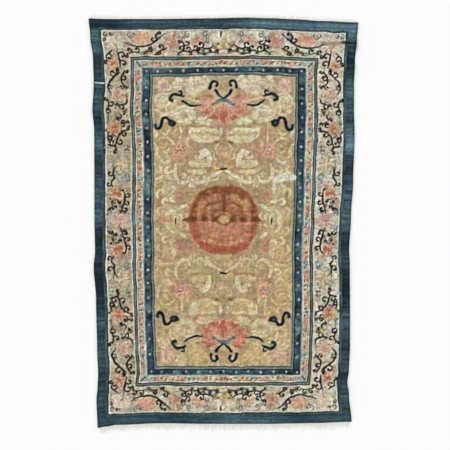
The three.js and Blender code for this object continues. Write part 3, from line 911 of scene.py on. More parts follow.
def large_lotus(chart, end):
    """The lotus at one end of the field, its fan of petals towards the middle, and the bud beyond."""
    yarn, far = chart.yarn, end > 0
    warm = blend(yarn.coral, yarn.rose, 0.15) if far else blend(yarn.coral, yarn.brick, 0.4)
    wing = blend(yarn.rose, yarn.ivory, 0.4 if far else 0.1)
    halves = [Quarter(chart, side, end) for side in (1, -1)]
    whole = halves[0]
    rng = np.random.default_rng(91)
    for half in halves:
        lotus_fan(half, warm, wing)
    whole.petal(0, 562, -90, 98, 46, warm, tip=yarn.brick, rim=yarn.rose, full=1.5, strength=0.9)
    for half in halves:
        for k in range(LOTUS_VEINS):
            u, v = rng.uniform(2, 96), rng.uniform(478, 556)
            if math.hypot(u / 104, (v - 562) / 98) < 0.95:
                vein = [(u, v), (u + rng.uniform(-3, 3), v - rng.uniform(10, 22))]
                tint, strength = ((wing, 0.5), (yarn.brick, 0.4), (yarn.rose, 0.5))[k % 3]
                half.stroke(vein, rng.uniform(3.6, 5.2), tint, strength=strength)
        half.spot(44, 490, 17, 10, yarn.brick, soft=9, strength=0.6)
        half.spot(76, 518, 14, 9, yarn.brick, soft=9, strength=0.35)
        half.spot(86, 562, 24, 8, yarn.ivory, turn=10, soft=9, strength=0.4 if far else 0.12)
        half.spot(66, 592, 17, 7, yarn.brick, turn=14, soft=7, strength=0.45)
        half.petal(0, 586, -36, 62, 17, yarn.teal, tip=yarn.slate, full=1.0)
        half.spot(48, 553, 8, 6, yarn.ink, soft=6, strength=0.35)
    whole.spot(0, 574, 20, 11, yarn.teal, soft=6)
    bud, bud_tip = yarn.coral if far else blend(yarn.coral, yarn.gold, 0.6), blend(yarn.rose, yarn.straw, 0.4)
    whole.fan(-2, 286, (74, 106, 90), 46, 13, bud, tip=bud_tip, full=1.2, strength=0.75)
    whole.stroke([(-13, 247), (13, 247)], 9, yarn.ink, soft=5)


# The dark ribbon that waves beside the lotus
RIBBON_WAVE = (
    (224, 470), (240, 464), (254, 478), (266, 491), (280, 489), (288, 472), (292, 452), (301, 438),
    (313, 441), (319, 456),
)


def ink_ribbons(quarter):
    """The dark ribbons round the lotus: hooks, side strokes, double curls and waves."""
    yarn = quarter.yarn
    ink, core = blend(yarn.ink, yarn.navy, 0.5), blend(yarn.navy, yarn.slate, 0.5)
    for width, taper, *points in (
            (10, (0.35, 0.8), (104, 552), (120, 549), (140, 547), (162, 553), (190, 571)),
            (11, (0.6, 1.25), (3, 583), (14, 592), (26, 603), (38, 618)),
            (11, (1.2, 1.1), (36, 640), (29, 652), (38, 663), (52, 662), (60, 648), (63, 630))):
        quarter.stroke(points, width, ink, taper=taper, soft=5)
    quarter.spot(48, 644, 7, 9, blend(yarn.slate, yarn.straw, 0.4), soft=8, strength=0.7)
    curl = [(186, 590), (206, 598), (228, 603), (244, 594), (248, 580), (236, 573)]
    quarter.stroke(curl, 15, blend(ink, yarn.teal, 0.25), taper=(0.5, 1.0), soft=6)
    quarter.stroke([(206, 599), (194, 606), (195, 617), (206, 616)], 8, ink, soft=5)
    quarter.spot(234, 584, 8, 5, blend(core, yarn.straw, 0.3), soft=8, strength=0.6)
    quarter.stroke(RIBBON_WAVE, 14, ink, taper=(0.7, 1.0), soft=6.5)
    quarter.spot(241, 465, 19, 16, ink, turn=20, soft=8)
    quarter.spot(243, 466, 9, 7, core, soft=12, strength=0.75)
    quarter.spot(306, 452, 7, 8, blend(yarn.slate, yarn.teal, 0.5), soft=9, strength=0.7)


# The medallion's half width, its reach to the far and near side, and the power that squares its round
MEDALLION_HALF, MEDALLION_FAR, MEDALLION_NEAR, MEDALLION_POWER = 163, 168, 155, 2.4
# Its square rings: reach, half width and depth
MEDALLION_RINGS = ((134, 9, 0.5), (90, 8, 0.85), (50, 8, 0.75))


def medallion(chart):
    """A round medallion with a flat head, petalled about a boss, its near half from a paler dye lot."""
    yarn, streaks = chart.yarn, chart.streaks
    window = chart.window(-215, 215, -205, 210)
    x, y = chart.x[window], chart.y[window]
    half_y = np.where(y > 0, MEDALLION_FAR, MEDALLION_NEAR)
    reach = (np.abs(x) / MEDALLION_HALF) ** MEDALLION_POWER + (np.abs(y) / half_y) ** MEDALLION_POWER
    reach = MEDALLION_HALF * reach ** (1 / MEDALLION_POWER)
    petals = np.abs(np.sin(7 * np.arctan2(y, x)))
    bars = (0.6 * streaks(8, 30, 41) + 0.6 * streaks(34, 8, 42) + 0.5 * streaks(17, 15, 43))[window]
    patch = streaks(34, 30, 44, True)[window]
    low = held((4 - y) / 8)
    # Each tint in the far dye lot, then in the near one
    deep = blend(yarn.rust, yarn.brick * 0.96, low)
    middle = blend(blend(yarn.rust, yarn.tan, 0.4), blend(yarn.coral, yarn.tan, 0.5) * 0.94, low)
    pale = blend(blend(yarn.tan, yarn.gold, 0.25), blend(yarn.coral, yarn.gold, 0.5), low)
    blush = blend(blend(yarn.mauve, yarn.coral, 0.4), blend(yarn.rose, yarn.coral, 0.6), low)
    # The round with its side tips, then its paler inside
    within = held(0.5 - (reach + 3 * petals * (np.abs(y) > 30) - 164 - 4 * patch - 5 * bars) / 13)
    tip_length = np.where(x < 0, 48, 30)
    tips = held(0.5 - (np.maximum(np.abs(x) - 150, 0) / tip_length + np.abs(y - 8) / 22 - 1) * 6)
    figure = np.maximum(within, tips)
    chart.lay(window, figure, blend(deep, middle, np.clip(0.3 + 0.7 * bars, 0, 0.9)))
    inside = blend(middle, pale, held(0.46 + 0.7 * bars + 0.35 * patch))
    inside = blend(inside, blush, 0.6 * held(1 - np.abs(reach - 60) / 30 + 0.4 * bars))
    chart.lay(window, held((132 + 9 * petals + 8 * patch + 8 * bars - reach) / 20), inside)
    square = (x ** 4 + y ** 4) ** 0.25
    for limit, wide, depth in MEDALLION_RINGS:
        line = held(1.3 - np.abs(square + 5 * patch - limit) / wide)
        chart.lay(window, depth * (1 - 0.5 * low) * line * held(0.75 + bars), deep * 0.95)
    # Gold cheeks, seams between the petals, a stalk, a barred band and the red foot
    cheeks = held(1.4 - np.hypot((np.abs(x) - 108) / 22, (y - 66) / 40))
    chart.lay(window, 0.8 * held(cheeks + 0.3 * bars) * (cheeks > 0), blend(yarn.tan, yarn.gold, 0.4))
    seams = held(1 - petals * reach / 36) * held((reach - 44) / 10)
    chart.lay(window, 0.4 * (1 - 0.5 * low) * seams * held((132 - reach) / 6), deep)
    stalk = held(1.4 - np.abs(x - 4) / 9) * held((y - 40) / 8) * held((140 - y) / 20)
    chart.lay(window, 0.85 * stalk, yarn.rust * 0.92)
    band = held(1.4 - np.abs(y - 9) / 13) * figure * held((np.hypot(x - 4, y - 6) - 26) / 6)
    broken = held(0.5 + 0.55 * np.cos((np.abs(x) - 38) * math.tau / 52) + 0.4 * bars)
    chart.lay(window, band * broken, yarn.rust * 0.85)
    foot = held((-y - 104) / 26) * within
    chart.lay(window, 0.8 * foot * held(0.8 + 0.6 * bars), blend(yarn.brick, yarn.coral, 0.15))
    # The boss, the ink marks at both sides and the stain at the left
    chart.spot(4, 6, 34, 28, yarn.rust, soft=9, strength=0.65)
    chart.spot(4, 7, 26, 21, blend(yarn.gold, yarn.tan, 0.2), soft=7)
    for side in (-1, 1):
        chart.stroke([(side * 229, -14), (side * 229, 14)], 7, yarn.ink, taper=(0.6, 0.6), strength=0.9)
    chart.spot(-272, 0, 34, 10, blend(yarn.gold, yarn.coral, 0.5), soft=10, strength=0.85)


def smoothed(values, passes):
    """A grid of values evened out with its neighbours."""
    flat = ((0, 0),) * (values.ndim - 2)
    for _ in range(passes):
        rows = np.pad(values, ((1, 1), (0, 0)) + flat, mode="edge")
        values = 0.25 * rows[:-2] + 0.5 * rows[1:-1] + 0.25 * rows[2:]
        columns = np.pad(values, ((0, 0), (1, 1)) + flat, mode="edge")
        values = 0.25 * columns[:, :-2] + 0.5 * columns[:, 1:-1] + 0.25 * columns[:, 2:]
    return values


# Shares of red, green and blue in lightness; how far dye bleeds, and the reach over which edges are firmed
LIGHT_SHARES, BLEED_REACH, FIRM_REACH = (0.3, 0.59, 0.11), 5.5, 8.0


def wear_and_crease_shade(chart):
    """Marks of use and painted shade: a worn line, painted shade along a crease, dye that has bled and the
    knots' own unevenness.
    """
    yarn, streaks = chart.yarn, chart.streaks
    chart.stroke([(-606, 657), (-562, 657)], 6, yarn.pearl, strength=0.8)
    # Painted shade along the crease of the far right ripple: a soft brown shadow over the cream border, then
    # a dark one over the plain border
    chart.stroke([(446, 853), (500, 858), (556, 862)], 16, yarn.umber, soft=14, strength=0.5)
    chart.stroke([(556, 862), (606, 860)], 12, yarn.ink, soft=6, strength=0.7)
    rng = np.random.default_rng(77)
    pitch = np.diff(chart.xs).mean()

    def evened(values, reach):
        return smoothed(values, max(1, round(2 * (reach / pitch) ** 2)))

    light = chart.rgb @ np.array(LIGHT_SHARES)
    hue = evened(chart.rgb - light[..., None], BLEED_REACH)
    light = light + 0.5 * (light - evened(light, FIRM_REACH))
    shade = 1 + 0.06 * streaks(40, 4.6, 51) + 0.05 * streaks(4.6, 40, 52) + 0.09 * streaks(11, 10, 53)
    shade = shade + 0.10 * streaks(7.5, 7.0, 58) + 0.04 * rng.standard_normal(chart.x.shape)
    cast = np.stack([0.025 * streaks(42, 36, 57 + k) for k in range(3)], -1)
    chart.rgb = np.clip((light[..., None] + hue) * (shade[..., None] + cast), 0.03, 0.95)


def paint(chart):
    """Paints the whole rug, from its bands to its marks of use and painted crease shade."""
    quarters = [Quarter(chart, side, end) for side, end in QUARTERS]
    bands(chart)
    for quarter in quarters:
        side_vine(quarter)
        end_vine(quarter)
    for quarter in quarters:
        side_flowers(quarter)
    for end in (1, -1):
        end_middle(chart, end)
    guard_lines(chart)
    floret_guard(chart)
    pearl_guard(chart)
    field_ground(chart)
    for quarter in quarters:
        field_scrolls(quarter)
        field_flowers(quarter)
    for end in (1, -1):
        large_lotus(chart, end)
    medallion(chart)
    for quarter in quarters:
        ink_ribbons(quarter)
    wear_and_crease_shade(chart)


def drawing_shift():
    """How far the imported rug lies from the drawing's own middle, across and along."""
    across, along = np.linspace(-HALF_WIDTH, HALF_WIDTH, 400), np.linspace(-HALF_LENGTH, HALF_LENGTH, 600)
    ends = laid(*np.meshgrid(across, (-HALF_LENGTH, HALF_LENGTH)))
    sides = laid(*np.meshgrid((-HALF_WIDTH, HALF_WIDTH), along))
    low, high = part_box("pile_rug")
    shift = []
    for k in range(2):
        outline = np.concatenate([ends[k].ravel(), sides[k].ravel()])
        shift.append(0.5 * MM * (low[k] + high[k]) - 0.5 * (outline.min() + outline.max()))
    return shift


SHIFT_X, SHIFT_Y = drawing_shift()


def on_floor(x, y, height):
    """Points of the drawing at a height over the back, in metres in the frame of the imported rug."""
    floor_x, floor_y = laid(x, y)
    return np.stack([floor_x + SHIFT_X, floor_y + SHIFT_Y, height + lift(x, y)], -1) / MM


def as_light(rgb):
    """Yarn colours as the light values that a shader takes."""
    rgb = np.asarray(rgb, float)
    return np.where(rgb <= 0.04045, rgb / 12.92, ((rgb + 0.055) / 1.055) ** 2.4)


def cut_hole(mesh, within):
    """Takes the quads out of the active piece's mesh whose corners all lie within a hole."""
    corners = np.empty(len(mesh.loops), np.int32)
    mesh.loops.foreach_get("vertex_index", corners)
    mesh.vertices.foreach_set("select", np.zeros(len(mesh.vertices), bool))
    mesh.edges.foreach_set("select", np.zeros(len(mesh.edges), bool))
    mesh.polygons.foreach_set("select", within[corners].reshape(-1, 4).all(1))
    bpy.context.tool_settings.mesh_select_mode = (False, False, True)
    bpy.ops.object.mode_set(mode="EDIT")
    bpy.ops.mesh.delete(type="FACE")
    bpy.ops.object.mode_set(mode="OBJECT")


def lattice_sheet(name, columns, rows, hole=None):
    """A grid of quads with its column and row numbers kept on its points, and a hole where one is given."""
    bpy.ops.object.select_all(action="DESELECT")
    bpy.ops.mesh.primitive_grid_add(x_subdivisions=columns, y_subdivisions=rows, size=2.0)
    piece = bpy.context.object
    mesh = piece.data
    piece.name = mesh.name = name
    if len(mesh.vertices) != (columns + 1) * (rows + 1):
        raise RuntimeError(f"{name}: the grid has {len(mesh.vertices)} points")
    flat = np.empty(3 * len(mesh.vertices))
    mesh.vertices.foreach_get("co", flat)
    column = np.rint((flat[0::3] + 1) / 2 * columns).astype(np.int32)
    row = np.rint((flat[1::3] + 1) / 2 * rows).astype(np.int32)
    for label, numbers in (("column", column), ("row", row)):
        mesh.attributes.new(label, "INT", "POINT").data.foreach_set("value", numbers)
    if hole is not None:
        middle_columns = (column >= hole[0]) & (column <= columns - hole[0])
        middle_rows = (row >= hole[1]) & (row <= rows - hole[1])
        cut_hole(mesh, middle_columns & middle_rows)
    return piece


def lattice_numbers(mesh):
    """The column and row numbers of a mesh's points."""
    numbers = []
    for label in ("column", "row"):
        values = np.empty(len(mesh.vertices), np.int32)
        mesh.attributes[label].data.foreach_get("value", values)
        numbers.append(values)
    return numbers


def select_open_edges():
    """Goes into edit mode on the active piece with its open edges selected."""
    bpy.ops.object.mode_set(mode="EDIT")
    bpy.ops.mesh.select_mode(type="EDGE")
    bpy.ops.mesh.select_all(action="DESELECT")
    bpy.ops.mesh.select_non_manifold(extend=False, use_wire=False, use_boundary=True, use_multi_face=False,
                                     use_non_contiguous=False, use_verts=False)


def draw_down(piece):
    """Draws the open edges of a sheet down; returns which points are below."""
    select_open_edges()
    bpy.ops.mesh.extrude_edges_move(TRANSFORM_OT_translate={"value": (0, 0, -PILE_TOP / MM)})
    bpy.ops.mesh.select_mode(type="VERT")
    bpy.ops.object.mode_set(mode="OBJECT")
    below = np.empty(len(piece.data.vertices), bool)
    piece.data.vertices.foreach_get("select", below)
    return below


def close_below(ring):
    """Closes the underside of the active piece: a strip between two edges, or one face."""
    select_open_edges()
    if ring:
        bpy.ops.mesh.bridge_edge_loops()
    else:
        bpy.ops.mesh.edge_face_add()
    bpy.ops.mesh.select_all(action="SELECT")
    bpy.ops.mesh.normals_make_consistent(inside=False)
    bpy.ops.object.mode_set(mode="OBJECT")


def dye(mesh, rgb):
    """Gives each point of a mesh its yarn's colour."""
    rgba = np.ones((len(mesh.vertices), 4))
    rgba[:, :3] = as_light(rgb)
    mesh.color_attributes.new("yarn", "FLOAT_COLOR", "POINT").data.foreach_set("color", rgba.ravel())


# Edges turned by more than this many degrees stay sharp
SMOOTH_ANGLE = 50


def finish_piece(piece, material, nodes):
    """Smooths a piece, dresses it and puts it in the frame."""
    for label in ("column", "row"):
        if label in piece.data.attributes:
            piece.data.attributes.remove(piece.data.attributes[label])
    bpy.ops.object.select_all(action="DESELECT")
    piece.select_set(True)
    bpy.context.view_layer.objects.active = piece
    bpy.ops.object.shade_smooth_by_angle(angle=math.radians(SMOOTH_ANGLE))
    piece.data.materials.append(material)
    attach(piece, "root")
    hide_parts(*nodes)


class Shader:
    """A material's nodes, linked one to the next."""

    def __init__(self, name):
        self.material = bpy.data.materials.new(name)
        self.material.use_nodes = True
        self.tree = self.material.node_tree
        self.surface = self.tree.nodes["Principled BSDF"]

    def node(self, kind, **settings):
        """A new node, with its settings and the values of its inputs."""
        node = self.tree.nodes.new(kind)
        for key, value in settings.items():
            if hasattr(node, key):
                setattr(node, key, value)
            else:
                node.inputs[key.replace("_", " ")].default_value = value
        return node

    def link(self, out, into):
        self.tree.links.new(out, into)

    def noise(self, scale, stretch, low, high, detail=3.0):
        """Unevenness in the piece's own space, from low to high, stretched along the warp or weft."""
        place = self.node("ShaderNodeTexCoord")
        spread = self.node("ShaderNodeMapping", Scale=stretch)
        noise = self.node("ShaderNodeTexNoise", Scale=scale, Detail=detail, Roughness=0.6)
        bounds = self.node("ShaderNodeMapRange")
        for key, value in (("From Min", 0.3), ("From Max", 0.7), ("To Min", low), ("To Max", high)):
            bounds.inputs[key].default_value = value
        self.link(place.outputs["Object"], spread.inputs["Vector"])
        self.link(spread.outputs["Vector"], noise.inputs["Vector"])
        self.link(noise.outputs["Fac"], bounds.inputs["Value"])
        return bounds.outputs["Result"]

    def tint(self, colour, *tones):
        """A colour scaled by each tone in turn."""
        for tone in tones:
            scale = self.node("ShaderNodeVectorMath", operation="SCALE")
            self.link(colour, scale.inputs[0])
            self.link(tone, scale.inputs["Scale"])
            colour = scale.outputs["Vector"]
        self.link(colour, self.surface.inputs["Base Color"])

    def knots(self, across, along, depth, strength, below=None):
        """Rows of knots as a bump, one cell to a knot."""
        place = self.node("ShaderNodeTexCoord")
        spread = self.node("ShaderNodeMapping", Scale=(1 / across, 1 / along, 1.0))
        cells = self.node("ShaderNodeTexVoronoi", voronoi_dimensions="2D", Scale=1.0, Randomness=0.45)
        bump = self.node("ShaderNodeBump", Strength=strength, Distance=depth, invert=True)
        self.link(place.outputs["Object"], spread.inputs["Vector"])
        self.link(spread.outputs["Vector"], cells.inputs["Vector"])
        self.link(cells.outputs["Distance"], bump.inputs["Height"])
        if below is not None:
            self.link(below, bump.inputs["Normal"])
        return bump.outputs["Normal"]

    def fuzz(self, scale, stretch, depth, strength):
        """Loose fibres as a bump."""
        bump = self.node("ShaderNodeBump", Strength=strength, Distance=depth)
        self.link(self.noise(scale, stretch, 0.0, 1.0, 5.0), bump.inputs["Height"])
        return bump.outputs["Normal"]

    def finish(self, normal, roughness, sheen, specular):
        """Sets the surface; returns the material."""
        self.link(normal, self.surface.inputs["Normal"])
        self.surface.inputs["Roughness"].default_value = roughness
        self.surface.inputs["Sheen Weight"].default_value = sheen
        self.surface.inputs["Sheen Roughness"].default_value = 0.5
        self.surface.inputs["Specular IOR Level"].default_value = specular
        return self.material


def yarn_colour(shader):
    """The colour that a piece's points carry."""
    return shader.node("ShaderNodeAttribute", attribute_name="yarn").outputs["Color"]


# Unevenness that runs the same way in every direction
EVEN = (1, 1, 1)


def pile_material(sizes):
    """Worn wool pile: fibres in each knot, uneven weft rows and faded patches."""
    shader = Shader("Wool pile")
    grain = sizes.fibre_contrast
    shader.tint(yarn_colour(shader),
                shader.noise(300.0, EVEN, 1 - grain, 1 + grain, detail=5.0),
                shader.noise(1.0, (26, 300, 1), 1 - 0.4 * grain, 1 + 0.4 * grain),
                shader.noise(7.0, EVEN, 0.965, 1.035))
    fibres = shader.fuzz(1400.0, EVEN, depth=0.0006, strength=0.5)
    knots = shader.knots(sizes.knot_pitch, sizes.knot_pitch, depth=0.0012, strength=0.6, below=fibres)
    return shader.finish(knots, roughness=0.95, sheen=0.02, specular=0.06)


def back_material(sizes):
    """The back of the rug: the pattern shows between cotton wefts, row by row."""
    shader = Shader("Woven back")
    shader.tint(yarn_colour(shader),
                shader.noise(1.0, (60, 420, 1), 0.86, 1.12),
                shader.noise(420.0, EVEN, 0.9, 1.1))
    ribs = shader.fuzz(900.0, (0.4, 1, 1), depth=0.0005, strength=0.5)
    knots = shader.knots(sizes.knot_pitch, 0.7 * sizes.knot_pitch, depth=0.0008, strength=0.7, below=ribs)
    return shader.finish(knots, roughness=0.95, sheen=0.05, specular=0.15)


def fringe_material():
    """Undyed cotton warps, soft and slightly soiled."""
    shader = Shader("Cotton fringe")
    shader.tint(yarn_colour(shader),
                shader.noise(700.0, (1, 0.4, 1), 0.93, 1.05),
                shader.noise(24.0, EVEN, 0.95, 1.04))
    fibres = shader.fuzz(1300.0, (1, 0.35, 1), depth=0.0005, strength=0.5)
    return shader.finish(fibres, roughness=0.92, sheen=0.08, specular=0.2)


def length_property(label, use, default, smallest):
    """A length that a user can set, in metres."""
    return bpy.props.FloatProperty(name=label, description=use, default=default, min=smallest, unit="LENGTH")


class RugSizes(bpy.types.PropertyGroup):
    """Sizes of the pile, the back and the fringes."""

    knot_pitch: length_property("Knot Pitch", "Spacing of the knots in the field", 0.0031, 0.002)
    guard_pitch: length_property("Guard Pitch", "Spacing of the knots in the guard stripes", 0.0025, 0.002)
    vine_pitch: length_property("Vine Pitch", "Spacing of the knots in the vine border", 0.0029, 0.002)
    edge_pitch: length_property("Edge Pitch", "Spacing of the knots in the plain border", 0.004, 0.002)
    back_pitch: length_property("Back Pitch", "Spacing of the points of the back", 0.012, 0.004)
    pile_unevenness: length_property(
        "Pile Unevenness", "How far knots stand above or below their neighbours", 0.0003, 0.0)
    fibre_contrast: bpy.props.FloatProperty(
        name="Fibre Contrast", description="Lights and darks of the fibres in the pile", default=0.16,
        min=0.0, max=0.5)
    far_strands: bpy.props.IntProperty(
        name="Far Strands", description="Warps in the far fringe", default=210, min=10)
    near_strands: bpy.props.IntProperty(
        name="Near Strands", description="Warps in the near fringe", default=270, min=10)
    far_length: length_property("Far Fringe", "Usual length of the far fringe", 0.010, 0.002)
    near_length: length_property("Near Fringe", "Usual length of the near fringe", 0.024, 0.002)
    warp_width: length_property("Warp Width", "Width of a warp at its root", 0.0024, 0.0005)


def yarn_property(label, use, rgb):
    """A yarn's colour that a user can set, given in red, green and blue to 255."""
    return bpy.props.FloatVectorProperty(
        name=label, description=use, subtype="COLOR_GAMMA", size=3, min=0.0, max=1.0,
        default=tuple(c / 255 for c in rgb))


class RugYarns(bpy.types.PropertyGroup):
    """The dyed yarns of the pile and the undyed cotton."""

    navy: yarn_property("Navy", "Dark lots of the plain border and the pearl stripe", (28, 42, 50))
    indigo: yarn_property("Indigo", "Blue lots of the pearl stripe and the guard lines", (50, 66, 92))
    steel: yarn_property("Steel", "Pale lots of the plain border", (87, 116, 126))
    ink: yarn_property("Ink", "Vine, tendrils and ribbons", (30, 28, 22))
    cream: yarn_property("Cream", "Ground of the vine border", (190, 184, 160))
    ivory: yarn_property("Ivory", "Pale lines and pale petals", (212, 210, 192))
    coral: yarn_property("Coral", "Lotus and flower petals", (190, 126, 100))
    brick: yarn_property("Brick", "Deep parts of red flowers", (166, 88, 66))
    rose: yarn_property("Rose", "Pale parts of red flowers", (208, 172, 152))
    mauve: yarn_property("Mauve", "Faded purple petals", (164, 128, 118))
    slate: yarn_property("Slate", "Pale blue leaves", (136, 146, 142))
    teal: yarn_property("Teal", "Leaves and the inner line", (88, 116, 116))
    gold: yarn_property("Gold", "Warm scrolls", (190, 164, 112))
    straw: yarn_property("Straw", "Scrolls of the field", (204, 189, 148))
    taupe: yarn_property("Taupe", "Ground of the field", (165, 144, 110))
    khaki: yarn_property("Khaki", "Edges of scrolls", (141, 125, 88))
    rust: yarn_property("Rust", "Far half of the medallion", (130, 76, 50))
    tan: yarn_property("Tan", "Pale rings of the medallion", (178, 130, 96))
    pearl: yarn_property("Pearl", "Dots of the pearl stripe", (196, 192, 194))
    umber: yarn_property("Umber", "Brown stems and soiling", (100, 80, 58))
    cotton: yarn_property("Cotton", "Warps and wefts", (250, 247, 240))


def yarn_table(yarns):
    """Every yarn's colour by name."""
    return SimpleNamespace(**{name: np.array(getattr(yarns, name)) for name in RugYarns.__annotations__})


# Rows of points down the rounded edge of the pile
EDGE_ROWS = 5


def knot_lines(sizes):
    """The lattice of knots across and along, with its pitch changing from band to band."""
    lines = []
    for k, half in ((0, HALF_WIDTH), (1, HALF_LENGTH)):
        lines.append(lattice_lines((
            (FIELD[k], MM * sizes.knot_pitch), (GUARDS[k], MM * sizes.guard_pitch),
            (VINE[k], MM * sizes.vine_pitch), (half - EDGE_ROUND, MM * sizes.edge_pitch),
            (half, EDGE_ROUND / EDGE_ROWS))))
    return lines


# How far dark yarns wear down, the tone they wear from, its range, and the rim that keeps its height
WORN_DEPTH, WORN_TONE, WORN_RANGE, KEPT_RIM = 0.7, 0.22, 0.12, 20
# How deep the knots' roots sit in the back
ROOT_DEPTH = 0.2


class RUG_OT_knot_pile(bpy.types.Operator):
    """Knot the pile: field, guard stripes, vine border and plain border"""

    bl_idname = "rug.knot_pile"
    bl_label = "Knot Pile"

    def execute(self, context):
        sizes = context.scene.rug_sizes
        xs, ys = knot_lines(sizes)
        chart = KnotChart(xs, ys, yarn_table(context.scene.rug_yarns))
        paint(chart)
        grid_x, grid_y = np.meshgrid(xs, ys)
        rng = np.random.default_rng(19)
        uneven = MM * sizes.pile_unevenness * rng.uniform(-1, 0.6, grid_x.shape)
        worn = WORN_DEPTH * np.clip(WORN_TONE - chart.rgb.mean(-1), 0, WORN_RANGE) / WORN_RANGE
        inner_x = held((HALF_WIDTH - np.abs(grid_x)) / KEPT_RIM)
        inner_y = held((HALF_LENGTH - np.abs(grid_y)) / KEPT_RIM)
        tops = on_floor(grid_x, grid_y, crown(grid_x, grid_y) + uneven - worn * (inner_x * inner_y))
        roots = on_floor(grid_x, grid_y, np.full(grid_x.shape, BACK_THICKNESS - ROOT_DEPTH))
        material = pile_material(sizes)
        field, guards, vine_border = (
            tuple(int(np.searchsorted(lines, -reach - 1e-6)) for lines, reach in zip((xs, ys), limit))
            for limit in (FIELD, GUARDS, VINE))
        for name, cut, hole in (("field_pile", field, None), ("guard_pile", guards, field),
                                ("vine_border_pile", vine_border, guards),
                                ("plain_border_pile", (0, 0), vine_border)):
            gap = None if hole is None else (hole[0] - cut[0], hole[1] - cut[1])
            piece = lattice_sheet(name, len(xs) - 1 - 2 * cut[0], len(ys) - 1 - 2 * cut[1], gap)
            below = draw_down(piece)
            column, row = lattice_numbers(piece.data)
            column, row = column + cut[0], row + cut[1]
            places = np.where(below[:, None], roots[row, column], tops[row, column])
            piece.data.vertices.foreach_set("co", places.ravel())
            close_below(hole is not None)
            dye(piece.data, chart.rgb[row, column])
            finish_piece(piece, material, ("pile_rug",))
        return {"FINISHED"}


class RUG_OT_weave_back(bpy.types.Operator):
    """Weave the back that carries the knots"""

    bl_idname = "rug.weave_back"
    bl_label = "Weave Back"

    def execute(self, context):
        sizes = context.scene.rug_sizes
        yarns = yarn_table(context.scene.rug_yarns)
        pitch = MM * sizes.back_pitch
        xs, ys = lattice_lines(((HALF_WIDTH, pitch),)), lattice_lines(((HALF_LENGTH, pitch),))
        chart = KnotChart(xs, ys, yarns)
        paint(chart)
        piece = lattice_sheet("woven_back", len(xs) - 1, len(ys) - 1)
        column, row = lattice_numbers(piece.data)
        places = on_floor(xs[column], ys[row], np.full(len(column), BACK_THICKNESS))
        piece.data.vertices.foreach_set("co", places.ravel())
        dye(piece.data, blend(chart.rgb[row, column], yarns.cotton * 0.85, 0.3))
        solid = piece.modifiers.new("Thickness", "SOLIDIFY")
        solid.thickness = BACK_THICKNESS / MM
        solid.offset = -1.0
        bpy.ops.object.modifier_apply(modifier=solid.name)
        finish_piece(piece, back_material(sizes), ("pile_rug",))
        return {"FINISHED"}


def swept(runs, sides, flip):
    """Quads round a run of closed sections, each the same count of points, with both ends capped."""
    faces = []
    for low in range(0, (runs - 1) * sides, sides):
        high = low + sides
        for j in range(sides):
            k = (j + 1) % sides
            faces.append((low + j, low + k, high + k, high + j))
    faces += [tuple(range(sides - 1, -1, -1)), tuple(range((runs - 1) * sides, runs * sides))]
    return [face[::-1] for face in faces] if flip else faces


def beyond_end(x, end, out, up):
    """Points beyond one end of the rug, a distance out from its edge and up from the floor, in metres."""
    along = np.full(x.shape, end * HALF_LENGTH)
    edge = on_floor(np.clip(x, -HALF_WIDTH, HALF_WIDTH), along, np.zeros(x.shape))
    edge[..., 1] += end * out / MM
    edge[..., 2] = up / MM
    return edge


# The woven strip's section, as distances out from the end and up from the floor, and its points across
STRIP_SECTION = ((0.3, 0.3), (0.3, 2.0), (1.4, 2.5), (3.5, 2.4), (5.8, 2.3), (7.0, 1.6), (7.2, 0.3))
STRIP_POINTS = 260
# Where a warp starts within the strip, its steps along and its points round
WARP_START, WARP_STEPS, WARP_SIDES = 6.0, 8, 6


def fringe_cotton(end, count, length, width, seed):
    """The woven strip and its warps at one end, as points, faces and tones."""
    rng = np.random.default_rng(seed)
    reach = HALF_WIDTH - EDGE_ROUND
    section = np.array(STRIP_SECTION)
    across = np.repeat(np.linspace(-reach, reach, STRIP_POINTS)[:, None], len(section), axis=1)
    strip = beyond_end(across, end, section[:, 0], section[:, 1]).reshape(-1, 3)
    faces = swept(STRIP_POINTS, len(section), end > 0)

    steps, sides = np.linspace(0, 1, WARP_STEPS)[None, :], np.arange(WARP_SIDES) * math.tau / WARP_SIDES
    root = -reach + 4 + (2 * reach - 8) * (np.arange(count) + rng.uniform(-0.3, 0.3, count)) / (count - 1)
    run, lean = rng.uniform(0.62, 1.3, count) * length, rng.uniform(-0.22, 0.22, count)
    start = rng.uniform(0, math.tau, count)
    wave, half = rng.uniform(0.0, 0.10, count) * run, 0.5 * width * rng.uniform(0.8, 1.15, count)
    run, lean, start, wave, half = (value[:, None] for value in (run, lean, start, wave, half))
    thick = half * (1 - 0.55 * steps ** 2)
    aside = lean * run * steps ** 1.5 + wave * np.sin(start + 5 * steps) * steps
    rise = np.maximum(thick, 1.5 - 0.9 * steps) + 0.3 * np.sin(start + 7 * steps) * steps * (1 - steps)
    ply = 1 + 0.2 * np.cos(2 * (sides - 9 * steps[..., None]))
    x = (root[:, None] + aside)[..., None] + thick[..., None] * ply * np.cos(sides)
    up = np.maximum(rise[..., None] + thick[..., None] * ply * np.sin(sides), 0.05)
    warps = beyond_end(x, end, (WARP_START + (run + 1.0) * steps)[..., None], up).reshape(-1, 3)
    one = swept(WARP_STEPS, WARP_SIDES, end > 0)
    size = WARP_STEPS * WARP_SIDES
    for first in range(len(strip), len(strip) + size * count, size):
        faces += [tuple(first + corner for corner in face) for face in one]
    tones = np.concatenate([np.full(len(strip), 0.97), np.repeat(rng.uniform(0.95, 1.0, count), size)])
    return np.vstack([strip, warps]), faces, tones


